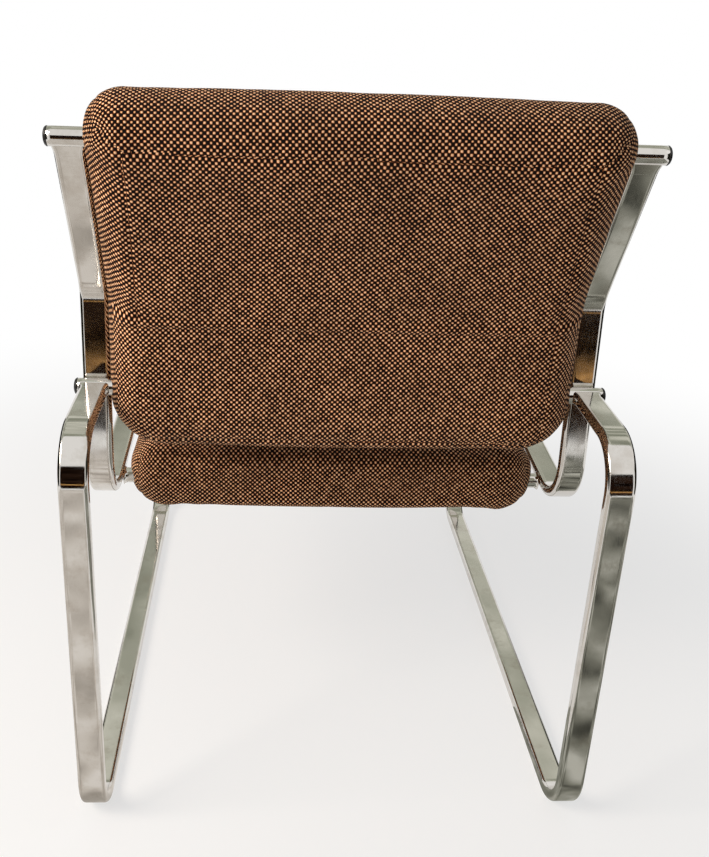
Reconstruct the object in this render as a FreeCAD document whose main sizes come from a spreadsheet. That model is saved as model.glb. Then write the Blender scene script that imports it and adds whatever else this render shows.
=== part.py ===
import FreeCAD, Part
import math
import os
import Sketcher

from FreeCAD import Placement, Rotation, Vector

# Chair on two bent side tubes, millimetres, +Z up, front towards -Y.
# The origin lies on the floor, midway between the side tubes and midway
# between the rear leg line and the front leg line.
# A size called "forward" is measured from the rear leg line to the front.

SIZES = (
    ("frame_spacing", 580.0, "between the centre planes of the side tubes"),
    ("tube_width", 32.0, "side tube across the chair"),
    ("tube_depth", 15.0, "side tube in its own plane"),
    ("tube_wall", 1.5, "wall of the side tube"),
    ("tube_edge", 5.0, "rounded edge of the side tube"),
    ("bend_radius", 55.0, "centre line radius of every tube bend"),
    ("base_length", 818.0, "rear leg line to front leg line"),
    ("corner_forward", 156.0, "corner between upright and seat rail"),
    ("corner_height", 350.5, "the same corner above the floor"),
    ("rail_rise", 4.5, "rise of the seat rail towards the front, degrees"),
    ("kink_forward", 178.0, "kink of the upright"),
    ("kink_height", 620.0, "the same kink above the floor"),
    ("top_rod_forward", 76.0, "axis of the top rod"),
    ("top_rod_height", 800.0, "the same axis above the floor"),
    ("lumbar_rod_height", 509.0, "axis of the lumbar rod above the floor"),
    ("leg_fall", 2.0, "fall of the leg's top run towards the rear, degrees"),
    ("rod_radius", 10.0, "outer radius of every cross rod"),
    ("rod_wall", 1.5, "wall of a cross rod"),
    ("rod_overhang", 3.5, "rod tube beyond the outer face of a side tube"),
    ("rod_drop", 6.0, "seat rod axis below the rail's centre line"),
    ("weld_reach", 9.0, "how far a weld runs along the tube"),
    ("weld_throat", 3.2, "how far a weld stands out at the rod"),
    ("ring_throat", 2.2, "how far a seat rod's ring weld stands out"),
    ("weld_toe", 0.5, "how far a weld stands out at its far end"),
    ("weld_play", 0.1, "between parts that a weld joins"),
    ("cap_dome", 3.3, "height of an end cap's domed head"),
    ("cap_rim", 1.2, "straight rim under the dome"),
    ("cap_plug", 12.0, "length of an end cap's plug"),
    ("cap_play", 0.1, "clearance of the plug in the rod"),
    ("cushion_gap", 6.0, "between cushion side and side tube"),
    ("cushion_thickness", 88.0, "cushion at its edges, between the faces"),
    ("cushion_crown", 7.0, "swell of a cushion's main face in its middle"),
    ("cushion_far_crown", 4.2, "swell of the opposite face"),
    ("cushion_waist", 4.0, "how far the sides draw in between corners"),
    ("cushion_flank", 1.0, "swell of a cushion's sides across the thickness"),
    ("cushion_corner", 40.0, "cushion corner radius seen from the face"),
    ("cushion_edge", 36.0, "cushion edge radius across the thickness"),
    ("back_above_rod", 41.0, "back cushion beyond the top rod's axis"),
    ("back_bottom", 449.0, "lower end of the back cushion above the floor"),
    ("back_bend", 95.0, "bend radius of the back cushion's middle line"),
    ("back_fill", 33.0, "extra foam behind the bend, so the rear is one gentle curve"),
    ("fill_reach", 270.0, "how far from the bend that foam runs out"),
    ("seat_rear_forward", 211.0, "rear end of the seat cushion"),
    ("seat_length", 541.0, "seat cushion from rear to front end"),
    ("rod_inset", 30.0, "seat rod axis in from the cushion's end"),
    ("cover_cloth", 2.0, "upholstery cloth with its lining"),
    ("soft_play", 0.3, "clearance around soft parts"),
    ("board_margin", 34.0, "board edge in from the cushion's outline"),
    ("seat_board_end", 17.0, "seat board's ends in from the cushion's ends"),
    ("back_board_thickness", 9.0, "moulded plywood in the back"),
    ("board_bend", 120.0, "bend radius of the back board's rear face"),
    ("seat_board_thickness", 12.0, "plywood in the seat"),
    ("clip_offset", 150.0, "clip from the middle plane"),
    ("clip_width", 20.0, "width of a clip"),
    ("clip_strap", 1.5, "sheet thickness of a clip"),
    ("clip_ear", 13.0, "length of a clip's ear"),
    ("screw_radius", 2.0, "shank radius of a clip screw"),
    ("screw_head", 4.0, "head radius of a clip screw"),
    ("screw_head_height", 2.2, "head height of a clip screw"),
    ("screw_play", 0.1, "clearance of a screw in its hole"),
    ("screw_cover", 2.0, "board left beyond the tip of a back clip's screw"),
)

# Shares and margins of construction that carry no size of their own
END_SWELL = 0.06
LIP_SHARE = 0.85
OVERRUN = 1.0
STATION_GAP = 8.0
END_ANGLES = (0, 24, 46, 68, 90)
STRAIGHT_SHARES = (0.22, 0.36, 0.5, 0.64, 0.78)
BENT_SHARES = (0.2, 0.36, 0.8)

doc = FreeCAD.newDocument("chair")
sheet = doc.addObject("Spreadsheet::Sheet", "Sizes")


def fill_sheet():
    """Put every driving size into the sheet under its alias."""
    for row, (alias, value, note) in enumerate(SIZES, start=1):
        sheet.set("A%d" % row, alias)
        sheet.set("B%d" % row, str(value))
        sheet.set("C%d" % row, note)
        sheet.setAlias("B%d" % row, alias)
    doc.recompute()


def size(alias):
    """Return the value of one cell as a plain number."""
    return float(sheet.get(alias))


def number(expression):
    """Return the present value of an expression in the sheet's cells."""
    value = sheet.evalExpression(expression)
    return float(getattr(value, "Value", value))


fill_sheet()

# Derived places, as expressions in the sheet's cells. Y is the chair's own.
LEAN = (
    "atan((Sizes.kink_forward - Sizes.top_rod_forward)"
    " / (Sizes.top_rod_height - Sizes.kink_height))"
)
TILT = (
    "atan((Sizes.kink_forward - Sizes.corner_forward)"
    " / (Sizes.kink_height - Sizes.corner_height))"
)
REAR_Y = "Sizes.base_length / 2"
FRONT_Y = "-Sizes.base_length / 2"
TOP_ROD_Y = REAR_Y + " - Sizes.top_rod_forward"
KINK_Y = REAR_Y + " - Sizes.kink_forward"
CORNER_Y = REAR_Y + " - Sizes.corner_forward"
FLOOR_LINE_Z = "Sizes.tube_depth / 2"
LUMBAR_OFFSET = "(Sizes.tube_depth / 2 + Sizes.rod_radius + Sizes.weld_play)"
LUMBAR_FORWARD = (
    "(Sizes.kink_forward"
    " - (Sizes.kink_height - Sizes.lumbar_rod_height) * tan(%s)"
    " - %s / cos(%s))" % (TILT, LUMBAR_OFFSET, TILT)
)
LUMBAR_Y = REAR_Y + " - " + LUMBAR_FORWARD
LEG_TOP_Z = (
    "Sizes.lumbar_rod_height - %s * tan(Sizes.leg_fall)" % LUMBAR_FORWARD
)
FRONT_TOP_Z = (
    "Sizes.corner_height"
    " + (Sizes.base_length - Sizes.corner_forward) * tan(Sizes.rail_rise)"
)
SEAT_REAR_Z = (
    "Sizes.corner_height"
    " + (Sizes.seat_rear_forward - Sizes.corner_forward)"
    " * tan(Sizes.rail_rise)"
)
SEAT_REAR_Y = REAR_Y + " - Sizes.seat_rear_forward"
ROD_LENGTH = (
    "(Sizes.frame_spacing + Sizes.tube_width + 2 * Sizes.rod_overhang)"
)
SEAT_ROD_LENGTH = (
    "(Sizes.frame_spacing - Sizes.tube_width - 2 * Sizes.weld_play)"
)
INSIDE_RADIUS = "(Sizes.rod_radius - Sizes.rod_wall)"
CUSHION_HALF_WIDTH = (
    "(Sizes.frame_spacing / 2 - Sizes.tube_width / 2 - Sizes.cushion_gap)"
)


def rod_place(at_inset):
    """Return the Y and Z expressions of a seat rod, given its distance
    along the seat from the cushion's rear end."""
    place_y = "%s - (%s) * cos(Sizes.rail_rise) - Sizes.rod_drop * sin(Sizes.rail_rise)"
    place_z = "%s + (%s) * sin(Sizes.rail_rise) - Sizes.rod_drop * cos(Sizes.rail_rise)"
    return place_y % (SEAT_REAR_Y, at_inset), place_z % (SEAT_REAR_Z, at_inset)


REAR_INSET = "Sizes.rod_inset"
FRONT_INSET = "Sizes.seat_length - Sizes.rod_inset"
TOP_ROD = (TOP_ROD_Y, "Sizes.top_rod_height")
LUMBAR_ROD = (LUMBAR_Y, "Sizes.lumbar_rod_height")
SEAT_REAR_ROD = rod_place(REAR_INSET)
SEAT_FRONT_ROD = rod_place(FRONT_INSET)


# Sketch helpers

def bind(sketch, expression, kind, *where):
    """Add a dimension to a sketch and bind it to an expression."""
    index = sketch.addConstraint(
        Sketcher.Constraint(kind, *where, number(expression))
    )
    sketch.setExpression("Constraints[%d]" % index, expression)
    return index


def place_point(sketch, geometry, vertex, place):
    """Hold a vertex at a pair of expressions, measured from the origin."""
    bind(sketch, place[0], "DistanceX", -1, 1, geometry, vertex)
    bind(sketch, place[1], "DistanceY", -1, 1, geometry, vertex)


def origin_plane(body, role):
    """Return one origin plane of a body by its role."""
    for feature in body.Origin.OriginFeatures:
        if feature.Role == role:
            return feature
    raise ValueError(role)


def new_sketch(body, name, role):
    """Start a sketch on one of the body's own origin planes."""
    sketch = body.newObject("Sketcher::SketchObject", name)
    sketch.AttachmentSupport = [(origin_plane(body, role), "")]
    sketch.MapMode = "FlatFace"
    return sketch


def bent_path(sketch, corners, radius):
    """Draw a path through corners, with a tangent arc at each inner one.

    Each corner is a pair of expressions. The corners stay in the sketch as
    held points, so the path follows when a cell changes."""
    points = [Vector(number(c[0]), number(c[1]), 0) for c in corners]
    bend = number(radius)
    held = []
    for point, corner in zip(points, corners):
        index = sketch.addGeometry(Part.Point(point), True)
        place_point(sketch, index, 1, corner)
        held.append(index)
    starts, ends, arcs = [points[0]], [], []
    for before, corner, after in zip(points, points[1:], points[2:]):
        to_before = (before - corner).normalize()
        to_after = (after - corner).normalize()
        half_angle = to_before.getAngle(to_after) / 2
        reach = bend / math.tan(half_angle)
        middle = (to_before + to_after).normalize()
        centre = corner + middle * (bend / math.sin(half_angle))
        first = corner + to_before * reach
        last = corner + to_after * reach
        nearest = centre - middle * bend
        arcs.append(Part.Arc(first, nearest, last))
        ends.append(first)
        starts.append(last)
    ends.append(points[-1])
    lines = []
    for number_of_line, (start, end) in enumerate(zip(starts, ends)):
        line = sketch.addGeometry(Part.LineSegment(start, end))
        lines.append(line)
        if number_of_line < len(arcs):
            arcs[number_of_line] = sketch.addGeometry(arcs[number_of_line])
    sketch.addConstraint(Sketcher.Constraint("Coincident", lines[0], 1, held[0], 1))
    sketch.addConstraint(Sketcher.Constraint("Coincident", lines[-1], 2, held[-1], 1))
    for place, arc in enumerate(arcs):
        before, after, corner = lines[place], lines[place + 1], held[place + 1]
        join_before = nearest_end(sketch, arc, before, 2)
        join_after = nearest_end(sketch, arc, after, 1)
        sketch.addConstraint(Sketcher.Constraint("Tangent", before, 2, arc, join_before))
        sketch.addConstraint(Sketcher.Constraint("Tangent", arc, join_after, after, 1))
        sketch.addConstraint(Sketcher.Constraint("PointOnObject", corner, 1, before))
        sketch.addConstraint(Sketcher.Constraint("PointOnObject", corner, 1, after))
        bind(sketch, radius, "Radius", arc)
    return ["Edge%d" % (place + 1) for place in range(len(lines) + len(arcs))]


def nearest_end(sketch, arc, line, line_end):
    """Return the arc's vertex, 1 or 2, that lies at the line's end."""
    target = sketch.getPoint(line, line_end)
    first = sketch.getPoint(arc, 1).distanceToPoint(target)
    last = sketch.getPoint(arc, 2).distanceToPoint(target)
    return 1 if first < last else 2


def rounded_rectangle(sketch, width, depth, radius):
    """Draw a rectangle with rounded corners about the sketch's origin."""
    half_x = number(width) / 2
    half_y = number(depth) / 2
    corner = number(radius)
    arcs = []
    for quarter, (side_x, side_y) in enumerate(((1, 1), (-1, 1), (-1, -1), (1, -1))):
        centre = Vector(side_x * (half_x - corner), side_y * (half_y - corner), 0)
        circle = Part.Circle(centre, Vector(0, 0, 1), corner)
        start = quarter * math.pi / 2
        arc = Part.ArcOfCircle(circle, start, start + math.pi / 2)
        arcs.append(sketch.addGeometry(arc))
    lines = []
    for first, second in zip(arcs, arcs[1:] + arcs[:1]):
        start = sketch.getPoint(first, 2)
        end = sketch.getPoint(second, 1)
        line = sketch.addGeometry(Part.LineSegment(start, end))
        sketch.addConstraint(Sketcher.Constraint("Tangent", first, 2, line, 1))
        sketch.addConstraint(Sketcher.Constraint("Tangent", line, 2, second, 1))
        lines.append(line)
    for line, direction in zip(lines, ("Horizontal", "Vertical") * 2):
        sketch.addConstraint(Sketcher.Constraint(direction, line))
    for arc in arcs[1:]:
        sketch.addConstraint(Sketcher.Constraint("Equal", arcs[0], arc))
    bind(sketch, radius, "Radius", arcs[0])
    half_width = "(%s) / 2" % width
    half_depth = "(%s) / 2" % depth
    bind(sketch, half_depth, "DistanceY", -1, 1, lines[0], 1)
    bind(sketch, "-" + half_width, "DistanceX", -1, 1, lines[1], 1)
    bind(sketch, "-" + half_depth, "DistanceY", -1, 1, lines[2], 1)
    bind(sketch, half_width, "DistanceX", -1, 1, lines[3], 1)


def ring(sketch, outer, inner):
    """Draw two circles about the sketch's origin, or one if inner is None."""
    for radius in (outer, inner):
        if radius is None:
            continue
        circle = Part.Circle(Vector(0, 0, 0), Vector(0, 0, 1), number(radius))
        index = sketch.addGeometry(circle)
        sketch.addConstraint(Sketcher.Constraint("Coincident", index, 3, -1, 1))
        bind(sketch, radius, "Radius", index)


# Bent tubes and rods

def swept_body(name, corners, radius, sections):
    """Sweep rounded rectangles along a bent path in the YZ plane.

    Each section is width, depth and corner radius. The second, if any, is
    the bore. The section's sketch stands square to the path's first run."""
    body = doc.addObject("PartDesign::Body", name)
    path = new_sketch(body, name + "_path", "YZ_Plane")
    edges = bent_path(path, corners, radius)
    section = new_sketch(body, name + "_section", "XY_Plane")
    turn = "-atan(((%s) - (%s)) / ((%s) - (%s)))" % (
        corners[0][0], corners[1][0], corners[0][1], corners[1][1]
    )
    start = Vector(0, number(corners[0][0]), number(corners[0][1]))
    section.AttachmentOffset = Placement(start, Rotation(Vector(1, 0, 0), number(turn)))
    section.setExpression("AttachmentOffset.Base.y", corners[0][0])
    section.setExpression("AttachmentOffset.Base.z", corners[0][1])
    section.setExpression("AttachmentOffset.Rotation.Angle", turn)
    for width, depth, corner in sections:
        rounded_rectangle(section, width, depth, corner)
    doc.recompute()
    pipe = body.newObject("PartDesign::AdditivePipe", name + "_sweep")
    pipe.Profile = section
    pipe.Spine = (path, edges)
    doc.recompute()
    return body


def side_tube(name, side):
    """One side of the frame: a single tube from the top rod down the back,
    forwards under the seat, down, back along the floor, up and forwards
    again to the lumbar rod. Both ends are coped to their rod."""
    corners = (
        TOP_ROD,
        (KINK_Y, "Sizes.kink_height"),
        (CORNER_Y, "Sizes.corner_height"),
        (FRONT_Y, FRONT_TOP_Z),
        (FRONT_Y, FLOOR_LINE_Z),
        (REAR_Y, FLOOR_LINE_Z),
        (REAR_Y, LEG_TOP_Z),
        LUMBAR_ROD,
    )
    outside = ("Sizes.tube_width", "Sizes.tube_depth", "Sizes.tube_edge")
    bore = (
        "Sizes.tube_width - 2 * Sizes.tube_wall",
        "Sizes.tube_depth - 2 * Sizes.tube_wall",
        "Sizes.tube_edge - Sizes.tube_wall",
    )
    body = swept_body(name, corners, "Sizes.bend_radius", (outside, bore))
    cope = new_sketch(body, name + "_cope", "YZ_Plane")
    for place in (TOP_ROD, LUMBAR_ROD):
        centre = Vector(number(place[0]), number(place[1]), 0)
        radius = "Sizes.rod_radius + Sizes.weld_play"
        circle = Part.Circle(centre, Vector(0, 0, 1), number(radius))
        index = cope.addGeometry(circle)
        place_point(cope, index, 3, place)
        bind(cope, radius, "Radius", index)
    doc.recompute()
    pocket = body.newObject("PartDesign::Pocket", name + "_coped_ends")
    pocket.Profile = cope
    pocket.SideType = "Symmetric"
    pocket.Length = 2 * size("tube_width")
    pocket.setExpression("Length", "2 * Sizes.tube_width")
    body.Label = name
    body.Placement.Base.x = side * size("frame_spacing") / 2
    body.setExpression("Placement.Base.x", "%d * Sizes.frame_spacing / 2" % side)
    return body


def turned_to_x(obj, place, offset):
    """Lay an object that was made along Z along X, at a place in YZ."""
    start = Vector(number(offset), number(place[0]), number(place[1]))
    obj.Placement = Placement(start, Rotation(Vector(0, 1, 0), 90))
    obj.setExpression("Placement.Base.x", offset)
    obj.setExpression("Placement.Base.y", place[0])
    obj.setExpression("Placement.Base.z", place[1])


def cross_rod(name, place, length):
    """A round tube across the chair, centred on the middle plane."""
    body = doc.addObject("PartDesign::Body", name)
    section = new_sketch(body, name + "_section", "XY_Plane")
    ring(section, "Sizes.rod_radius", INSIDE_RADIUS)
    doc.recompute()
    pad = body.newObject("PartDesign::Pad", name + "_length")
    pad.Profile = section
    pad.Length = number(length)
    pad.setExpression("Length", length)
    body.Label = name
    turned_to_x(body, place, "-(%s) / 2" % length)
    return body


def end_cap(name, place, side):
    """Domed plastic cap: a plug in the rod under a head as wide as the rod."""
    body = doc.addObject("PartDesign::Body", name)
    profile = new_sketch(body, name + "_profile", "XZ_Plane")
    head = number("Sizes.rod_radius")
    plug = number(INSIDE_RADIUS + " - Sizes.cap_play")
    rim = number("Sizes.cap_rim")
    top = rim + number("Sizes.cap_dome")
    low = -number("Sizes.cap_plug")
    rise = top - rim
    dome = (head * head + rise * rise) / (2 * rise)
    shoulder = head * math.sqrt(0.5)
    shoulder_height = top - dome + math.sqrt(dome * dome - shoulder * shoulder)
    axis_low = Vector(0, low, 0)
    axis_top = Vector(0, top, 0)
    plug_low = Vector(plug, low, 0)
    plug_top = Vector(plug, 0, 0)
    head_low = Vector(head, 0, 0)
    head_rim = Vector(head, rim, 0)
    axis = profile.addGeometry(Part.LineSegment(axis_top, axis_low))
    floor = profile.addGeometry(Part.LineSegment(axis_low, plug_low))
    wall = profile.addGeometry(Part.LineSegment(plug_low, plug_top))
    under = profile.addGeometry(Part.LineSegment(plug_top, head_low))
    edge = profile.addGeometry(Part.LineSegment(head_low, head_rim))
    arc = profile.addGeometry(
        Part.Arc(head_rim, Vector(shoulder, shoulder_height, 0), axis_top)
    )
    chain = (axis, floor, wall, under, edge)
    for first, second in zip(chain, chain[1:]):
        profile.addConstraint(Sketcher.Constraint("Coincident", first, 2, second, 1))
    rim_end = nearest_end(profile, arc, edge, 2)
    top_end = 3 - rim_end
    profile.addConstraint(Sketcher.Constraint("Coincident", edge, 2, arc, rim_end))
    profile.addConstraint(Sketcher.Constraint("Coincident", arc, top_end, axis, 1))
    profile.addConstraint(Sketcher.Constraint("PointOnObject", arc, 3, -2))
    for line in (floor, under):
        profile.addConstraint(Sketcher.Constraint("Horizontal", line))
    for line in (wall, edge):
        profile.addConstraint(Sketcher.Constraint("Vertical", line))
    profile.addConstraint(Sketcher.Constraint("PointOnObject", axis, 2, -2))
    profile.addConstraint(Sketcher.Constraint("PointOnObject", axis, 1, -2))
    bind(profile, "-Sizes.cap_plug", "DistanceY", -1, 1, axis, 2)
    bind(profile, "Sizes.cap_rim + Sizes.cap_dome", "DistanceY", -1, 1, axis, 1)
    bind(profile, INSIDE_RADIUS + " - Sizes.cap_play", "DistanceX", -1, 1, wall, 1)
    bind(profile, "Sizes.rod_radius", "DistanceX", -1, 1, edge, 1)
    profile.addConstraint(Sketcher.Constraint("PointOnObject", under, 1, -1))
    bind(profile, "Sizes.cap_rim", "DistanceY", -1, 1, edge, 2)
    doc.recompute()
    turn = body.newObject("PartDesign::Revolution", name + "_turned")
    turn.Profile = profile
    turn.ReferenceAxis = (profile, ["V_Axis"])
    turn.Angle = 360
    body.Label = name
    offset = "%d * %s / 2" % (side, ROD_LENGTH)
    start = Vector(number(offset), number(place[0]), number(place[1]))
    body.Placement = Placement(start, Rotation(Vector(0, 1, 0), side * 90))
    body.setExpression("Placement.Base.x", offset)
    body.setExpression("Placement.Base.y", place[0])
    body.setExpression("Placement.Base.z", place[1])
    return body


# Shapes set by their own functions: welds, soft parts, clips and screws

def feature(name, shape):
    """Add a finished shape to the document under its own label."""
    obj = doc.addObject("Part::Feature", name)
    obj.Shape = shape
    obj.Label = name
    return obj


def place_of(pair):
    """Return a pair of expressions as a point in the middle plane."""
    return Vector(0, number(pair[0]), number(pair[1]))


def rod_solid(centre, radius, length):
    """A round bar across the chair, centred on the middle plane."""
    start = centre - Vector(length / 2, 0, 0)
    return Part.makeCylinder(radius, length, start, Vector(1, 0, 0))


def rounded_section(origin, normal, half_width, half_depth, corner):
    """A rounded rectangle across X and along a normal in the YZ plane."""
    across = Vector(1, 0, 0)
    diagonal = corner * math.sqrt(0.5)
    edges = []
    previous = None
    first = None
    for side_x, side_n in ((1, 1), (-1, 1), (-1, -1), (1, -1)):
        core = (
            origin
            + across * (side_x * (half_width - corner))
            + normal * (side_n * (half_depth - corner))
        )
        on_side = core + across * (side_x * corner)
        on_face = core + normal * (side_n * corner)
        middle = core + across * (side_x * diagonal) + normal * (side_n * diagonal)
        start, end = (on_side, on_face) if side_x * side_n > 0 else (on_face, on_side)
        if previous is not None:
            edges.append(Part.LineSegment(previous, start).toShape())
        else:
            first = start
        edges.append(Part.Arc(start, middle, end).toShape())
        previous = end
    edges.append(Part.LineSegment(previous, first).toShape())
    return Part.Wire(edges)


def tube_end_weld(side, rod_centre, along):
    """Flared weld around a tube's end where it meets a rod: a frustum that
    widens towards the rod, less the tube and the rod."""
    half_width = size("tube_width") / 2
    half_depth = size("tube_depth") / 2
    corner = size("tube_edge")
    throat = size("weld_throat")
    play = size("weld_play")
    reach = size("rod_radius") + size("weld_reach")
    start = Vector(side * size("frame_spacing") / 2, rod_centre.y, rod_centre.z)
    normal = Vector(0, -along.z, along.y)
    deep_throat = size("rod_radius") - half_depth - 3 * play
    toe = size("weld_toe")

    def section(distance, wider, deeper):
        point = start + along * distance
        return rounded_section(
            point, normal, half_width + wider, half_depth + deeper, corner + deeper)

    bead = Part.makeLoft([section(0, throat, deep_throat), section(reach, toe, toe)], True, True)
    ends = (-OVERRUN, reach + OVERRUN)
    room = Part.makeLoft([section(distance, play, play) for distance in ends], True, True)
    bead = bead.cut(room)
    rod = rod_solid(rod_centre, size("rod_radius") + play, number(ROD_LENGTH))
    return bead.cut(rod)


def weld_group(name, centre, along):
    """The welds of both side tubes at one rod, as one group."""
    beads = []
    for side in (1, -1):
        beads.extend(tube_end_weld(side, centre, along).Solids)
    return feature(name, Part.makeCompound(beads))


def seat_rod_welds():
    """A ring of weld around each end of both seat rods."""
    radius = size("rod_radius")
    play = size("weld_play")
    throat = size("weld_throat")
    inner_face = number(SEAT_ROD_LENGTH) / 2
    beads = []
    for place in (SEAT_REAR_ROD, SEAT_FRONT_ROD):
        centre = place_of(place)
        for side in (1, -1):
            start = centre + Vector(side * inner_face, 0, 0)
            cone = Part.makeCone(
                radius + size("ring_throat"), radius + size("weld_toe"), throat,
                start, Vector(-side, 0, 0)
            )
            rod = rod_solid(centre, radius + play, 2 * inner_face + 2 * throat)
            beads.append(cone.cut(rod))
    return feature("seat_rod_welds", Part.makeCompound(beads))


class Spine:
    """Middle line of a cushion in the YZ plane, straight or bent once."""

    def __init__(self, start, end, corner=None, radius=0.0):
        """Keep the runs and, where there is a corner, its tangent arc."""
        self.start = start
        self.end = end
        self.corner = corner
        if corner is None:
            self.first_run = (end - start).Length
            self.length = self.first_run
            self.turn = 0.0
            return
        before = (corner - start).normalize()
        after = (end - corner).normalize()
        self.turn = before.getAngle(after)
        reach = radius * math.tan(self.turn / 2)
        self.first_run = (corner - start).Length - reach
        self.arc_length = radius * self.turn
        self.length = self.first_run + self.arc_length + (end - corner).Length - reach
        self.radius = radius
        self.before = before
        self.after = after

    def at(self, distance):
        """Return the point and the forward direction at a distance."""
        if self.corner is None:
            along = (self.end - self.start).normalize()
            return self.start + along * distance, along
        if distance <= self.first_run:
            return self.start + self.before * distance, self.before
        past = distance - self.first_run
        if past >= self.arc_length:
            left = self.length - distance
            return self.end - self.after * left, self.after
        angle = past / self.radius
        side = self.after - self.before * math.cos(self.turn)
        side = side.normalize()
        along = self.before * math.cos(angle) + side * math.sin(angle)
        arc_start = self.start + self.before * self.first_run
        point = (
            arc_start
            + self.before * (self.radius * math.sin(angle))
            + side * (self.radius * (1 - math.cos(angle)))
        )
        return point, along


def cushion_section(origin, normal, half_width, depths, corner, crowns):
    """One closed outline of a cushion, square to its middle line.

    depths are the faces' distances from the middle line, first the face on
    the normal's side. crowns are the swells of that face, of the far face
    and of the two sides."""
    across = Vector(1, 0, 0)
    near_depth, far_depth = depths
    near, far, flank = crowns
    centre = (near_depth - far_depth) / 2

    def spot(x, n):
        return origin + across * x + normal * n

    flat_x = half_width - corner
    diagonal = corner * math.sqrt(0.5)
    edges = []
    quarters = ((1, 1), (-1, 1), (-1, -1), (1, -1))
    swell = (
        (0, near_depth + near), (-half_width - flank, centre),
        (0, -far_depth - far), (half_width + flank, centre),
    )
    ends = []
    for side_x, side_n in quarters:
        depth = near_depth if side_n > 0 else far_depth
        flat_n = depth - corner
        on_side = spot(side_x * half_width, side_n * flat_n)
        on_face = spot(side_x * flat_x, side_n * depth)
        middle = spot(side_x * (flat_x + diagonal), side_n * (flat_n + diagonal))
        start, end = (on_side, on_face) if side_x * side_n > 0 else (on_face, on_side)
        ends.append((start, middle, end))
    for quarter in range(4):
        start, middle, end = ends[quarter]
        following = ends[(quarter + 1) % 4][0]
        edges.append(Part.Arc(start, middle, end).toShape())
        edges.append(Part.Arc(end, spot(*swell[quarter]), following).toShape())
    return Part.Wire(edges)


def cushion_stations(length, bend, corner):
    """Distances along a cushion at which its outline is set: close together
    over each rounded end, and at the ends and middle of a bend."""
    ends = [corner * (1 - math.cos(math.radians(angle))) for angle in END_ANGLES]
    inner = [length * share for share in STRAIGHT_SHARES]
    if bend is not None:
        bend_start, bend_end = bend
        arc = [bend_start, (bend_start + bend_end) / 2, bend_end]
        clear = [length * share for share in BENT_SHARES]
        clear = [d for d in clear if not bend_start - STATION_GAP < d < bend_end + STATION_GAP]
        inner = sorted(arc + clear)
    first = corner + STATION_GAP
    stations = ends + [d for d in inner if first < d < length - first]
    return stations + [length - e for e in reversed(ends)]


def cushion_solid(spine, crowns, inset):
    """The rounded block of a cushion, drawn in by an inset on all sides.

    Behind a bend the far side gets extra foam, which fades with the square
    of the distance from the bend's middle."""
    half_width = number(CUSHION_HALF_WIDTH) - inset
    half_depth = size("cushion_thickness") / 2 - inset
    corner = size("cushion_corner") - inset
    edge = size("cushion_edge") - inset
    length = spine.length - 2 * inset
    bend = None
    if spine.corner is not None:
        first = spine.first_run - inset
        bend = (first, first + spine.arc_length)
    wires = []
    for distance in cushion_stations(length, bend, corner):
        end = min(distance, length - distance)
        point, along = spine.at(distance + inset)
        normal = Vector(0, along.z, -along.y)
        past_corner = max(0.0, 1 - end / corner)
        past_edge = max(0.0, 1 - end / edge)
        narrow = corner * (1 - math.sqrt(1 - past_corner * past_corner))
        thin = edge * (1 - math.sqrt(1 - past_edge * past_edge))
        bulge = 1 - (1 - END_SWELL) * (2 * distance / length - 1) ** 2
        waist = size("cushion_waist") * bulge
        swells = [crown * bulge for crown in crowns] + [size("cushion_flank")]
        width = half_width - narrow - waist
        depth = half_depth - thin
        fill = 0.0
        if bend is not None:
            away = abs(distance - (bend[0] + bend[1]) / 2)
            fill = size("back_fill") * max(0.0, 1 - away / size("fill_reach")) ** 2
        radius = min(edge, depth * LIP_SHARE)
        depths = (depth, depth + fill)
        wires.append(cushion_section(point, normal, width, depths, radius, swells))
    return Part.makeLoft(wires, True, False)


def prism(points, half_width):
    """A closed polygon in the YZ plane, spread to both sides of it."""
    start = [Vector(-half_width, p.y, p.z) for p in points]
    outline = Part.makePolygon(start + start[:1])
    return Part.Face(outline).extrude(Vector(2 * half_width, 0, 0))


def clip_solid(centre, offset, up, along, play):
    """A saddle clip: a strap round the far side of a rod, with an ear flat
    on the board at each side of it. up points from the rod to the board."""
    width = size("clip_width") + 2 * play
    radius = size("rod_radius") + size("weld_play")
    strap = size("clip_strap")
    ear = size("clip_ear")
    outer = radius + strap
    start = Vector(offset - width / 2, centre.y, centre.z)
    across = Vector(width, 0, 0)
    band = Part.makeCylinder(outer + play, width, start, Vector(1, 0, 0))

    def block(low_along, high_along, low_up, high_up):
        corners = [
            start + along * a + up * u
            for a, u in (
                (low_along, low_up), (high_along, low_up),
                (high_along, high_up), (low_along, high_up),
            )
        ]
        return Part.Face(Part.makePolygon(corners + corners[:1])).extrude(across)

    seat = size("rod_radius") + size("soft_play")
    walls = block(-outer - play, outer + play, 0, seat)
    ears = block(-outer - ear - play, outer + ear + play, seat - strap - play, seat)
    body = band.fuse(walls).fuse(ears)
    above = block(-3 * outer - ear, 3 * outer + ear, seat, seat + 3 * outer)
    body = body.cut(above)
    if play == 0:
        groove = Part.makeCylinder(radius, width, start, Vector(1, 0, 0))
        body = body.cut(groove).cut(block(-radius, radius, 0, seat))
    return body.removeSplitter()


def clip_screws(centre, offset, up, along, play):
    """Two pan-head screws that hold one clip to the board."""
    radius = size("screw_radius") + play
    head = size("screw_head") + play
    head_height = size("screw_head_height") + play
    strap = size("clip_strap")
    reach = size("rod_radius") + strap + size("clip_ear") / 2
    seat = size("rod_radius") + size("soft_play")
    shank = size("back_board_thickness") - size("screw_cover") + strap
    screws = []
    for side in (1, -1):
        foot = Vector(offset, centre.y, centre.z) + along * (side * reach)
        under = foot + up * (seat - strap)
        pin = Part.makeCylinder(radius, shank, under, up)
        cap = Part.makeCylinder(head, head_height, under, up * -1)
        screws.append(pin.fuse(cap).removeSplitter())
    return screws


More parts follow.
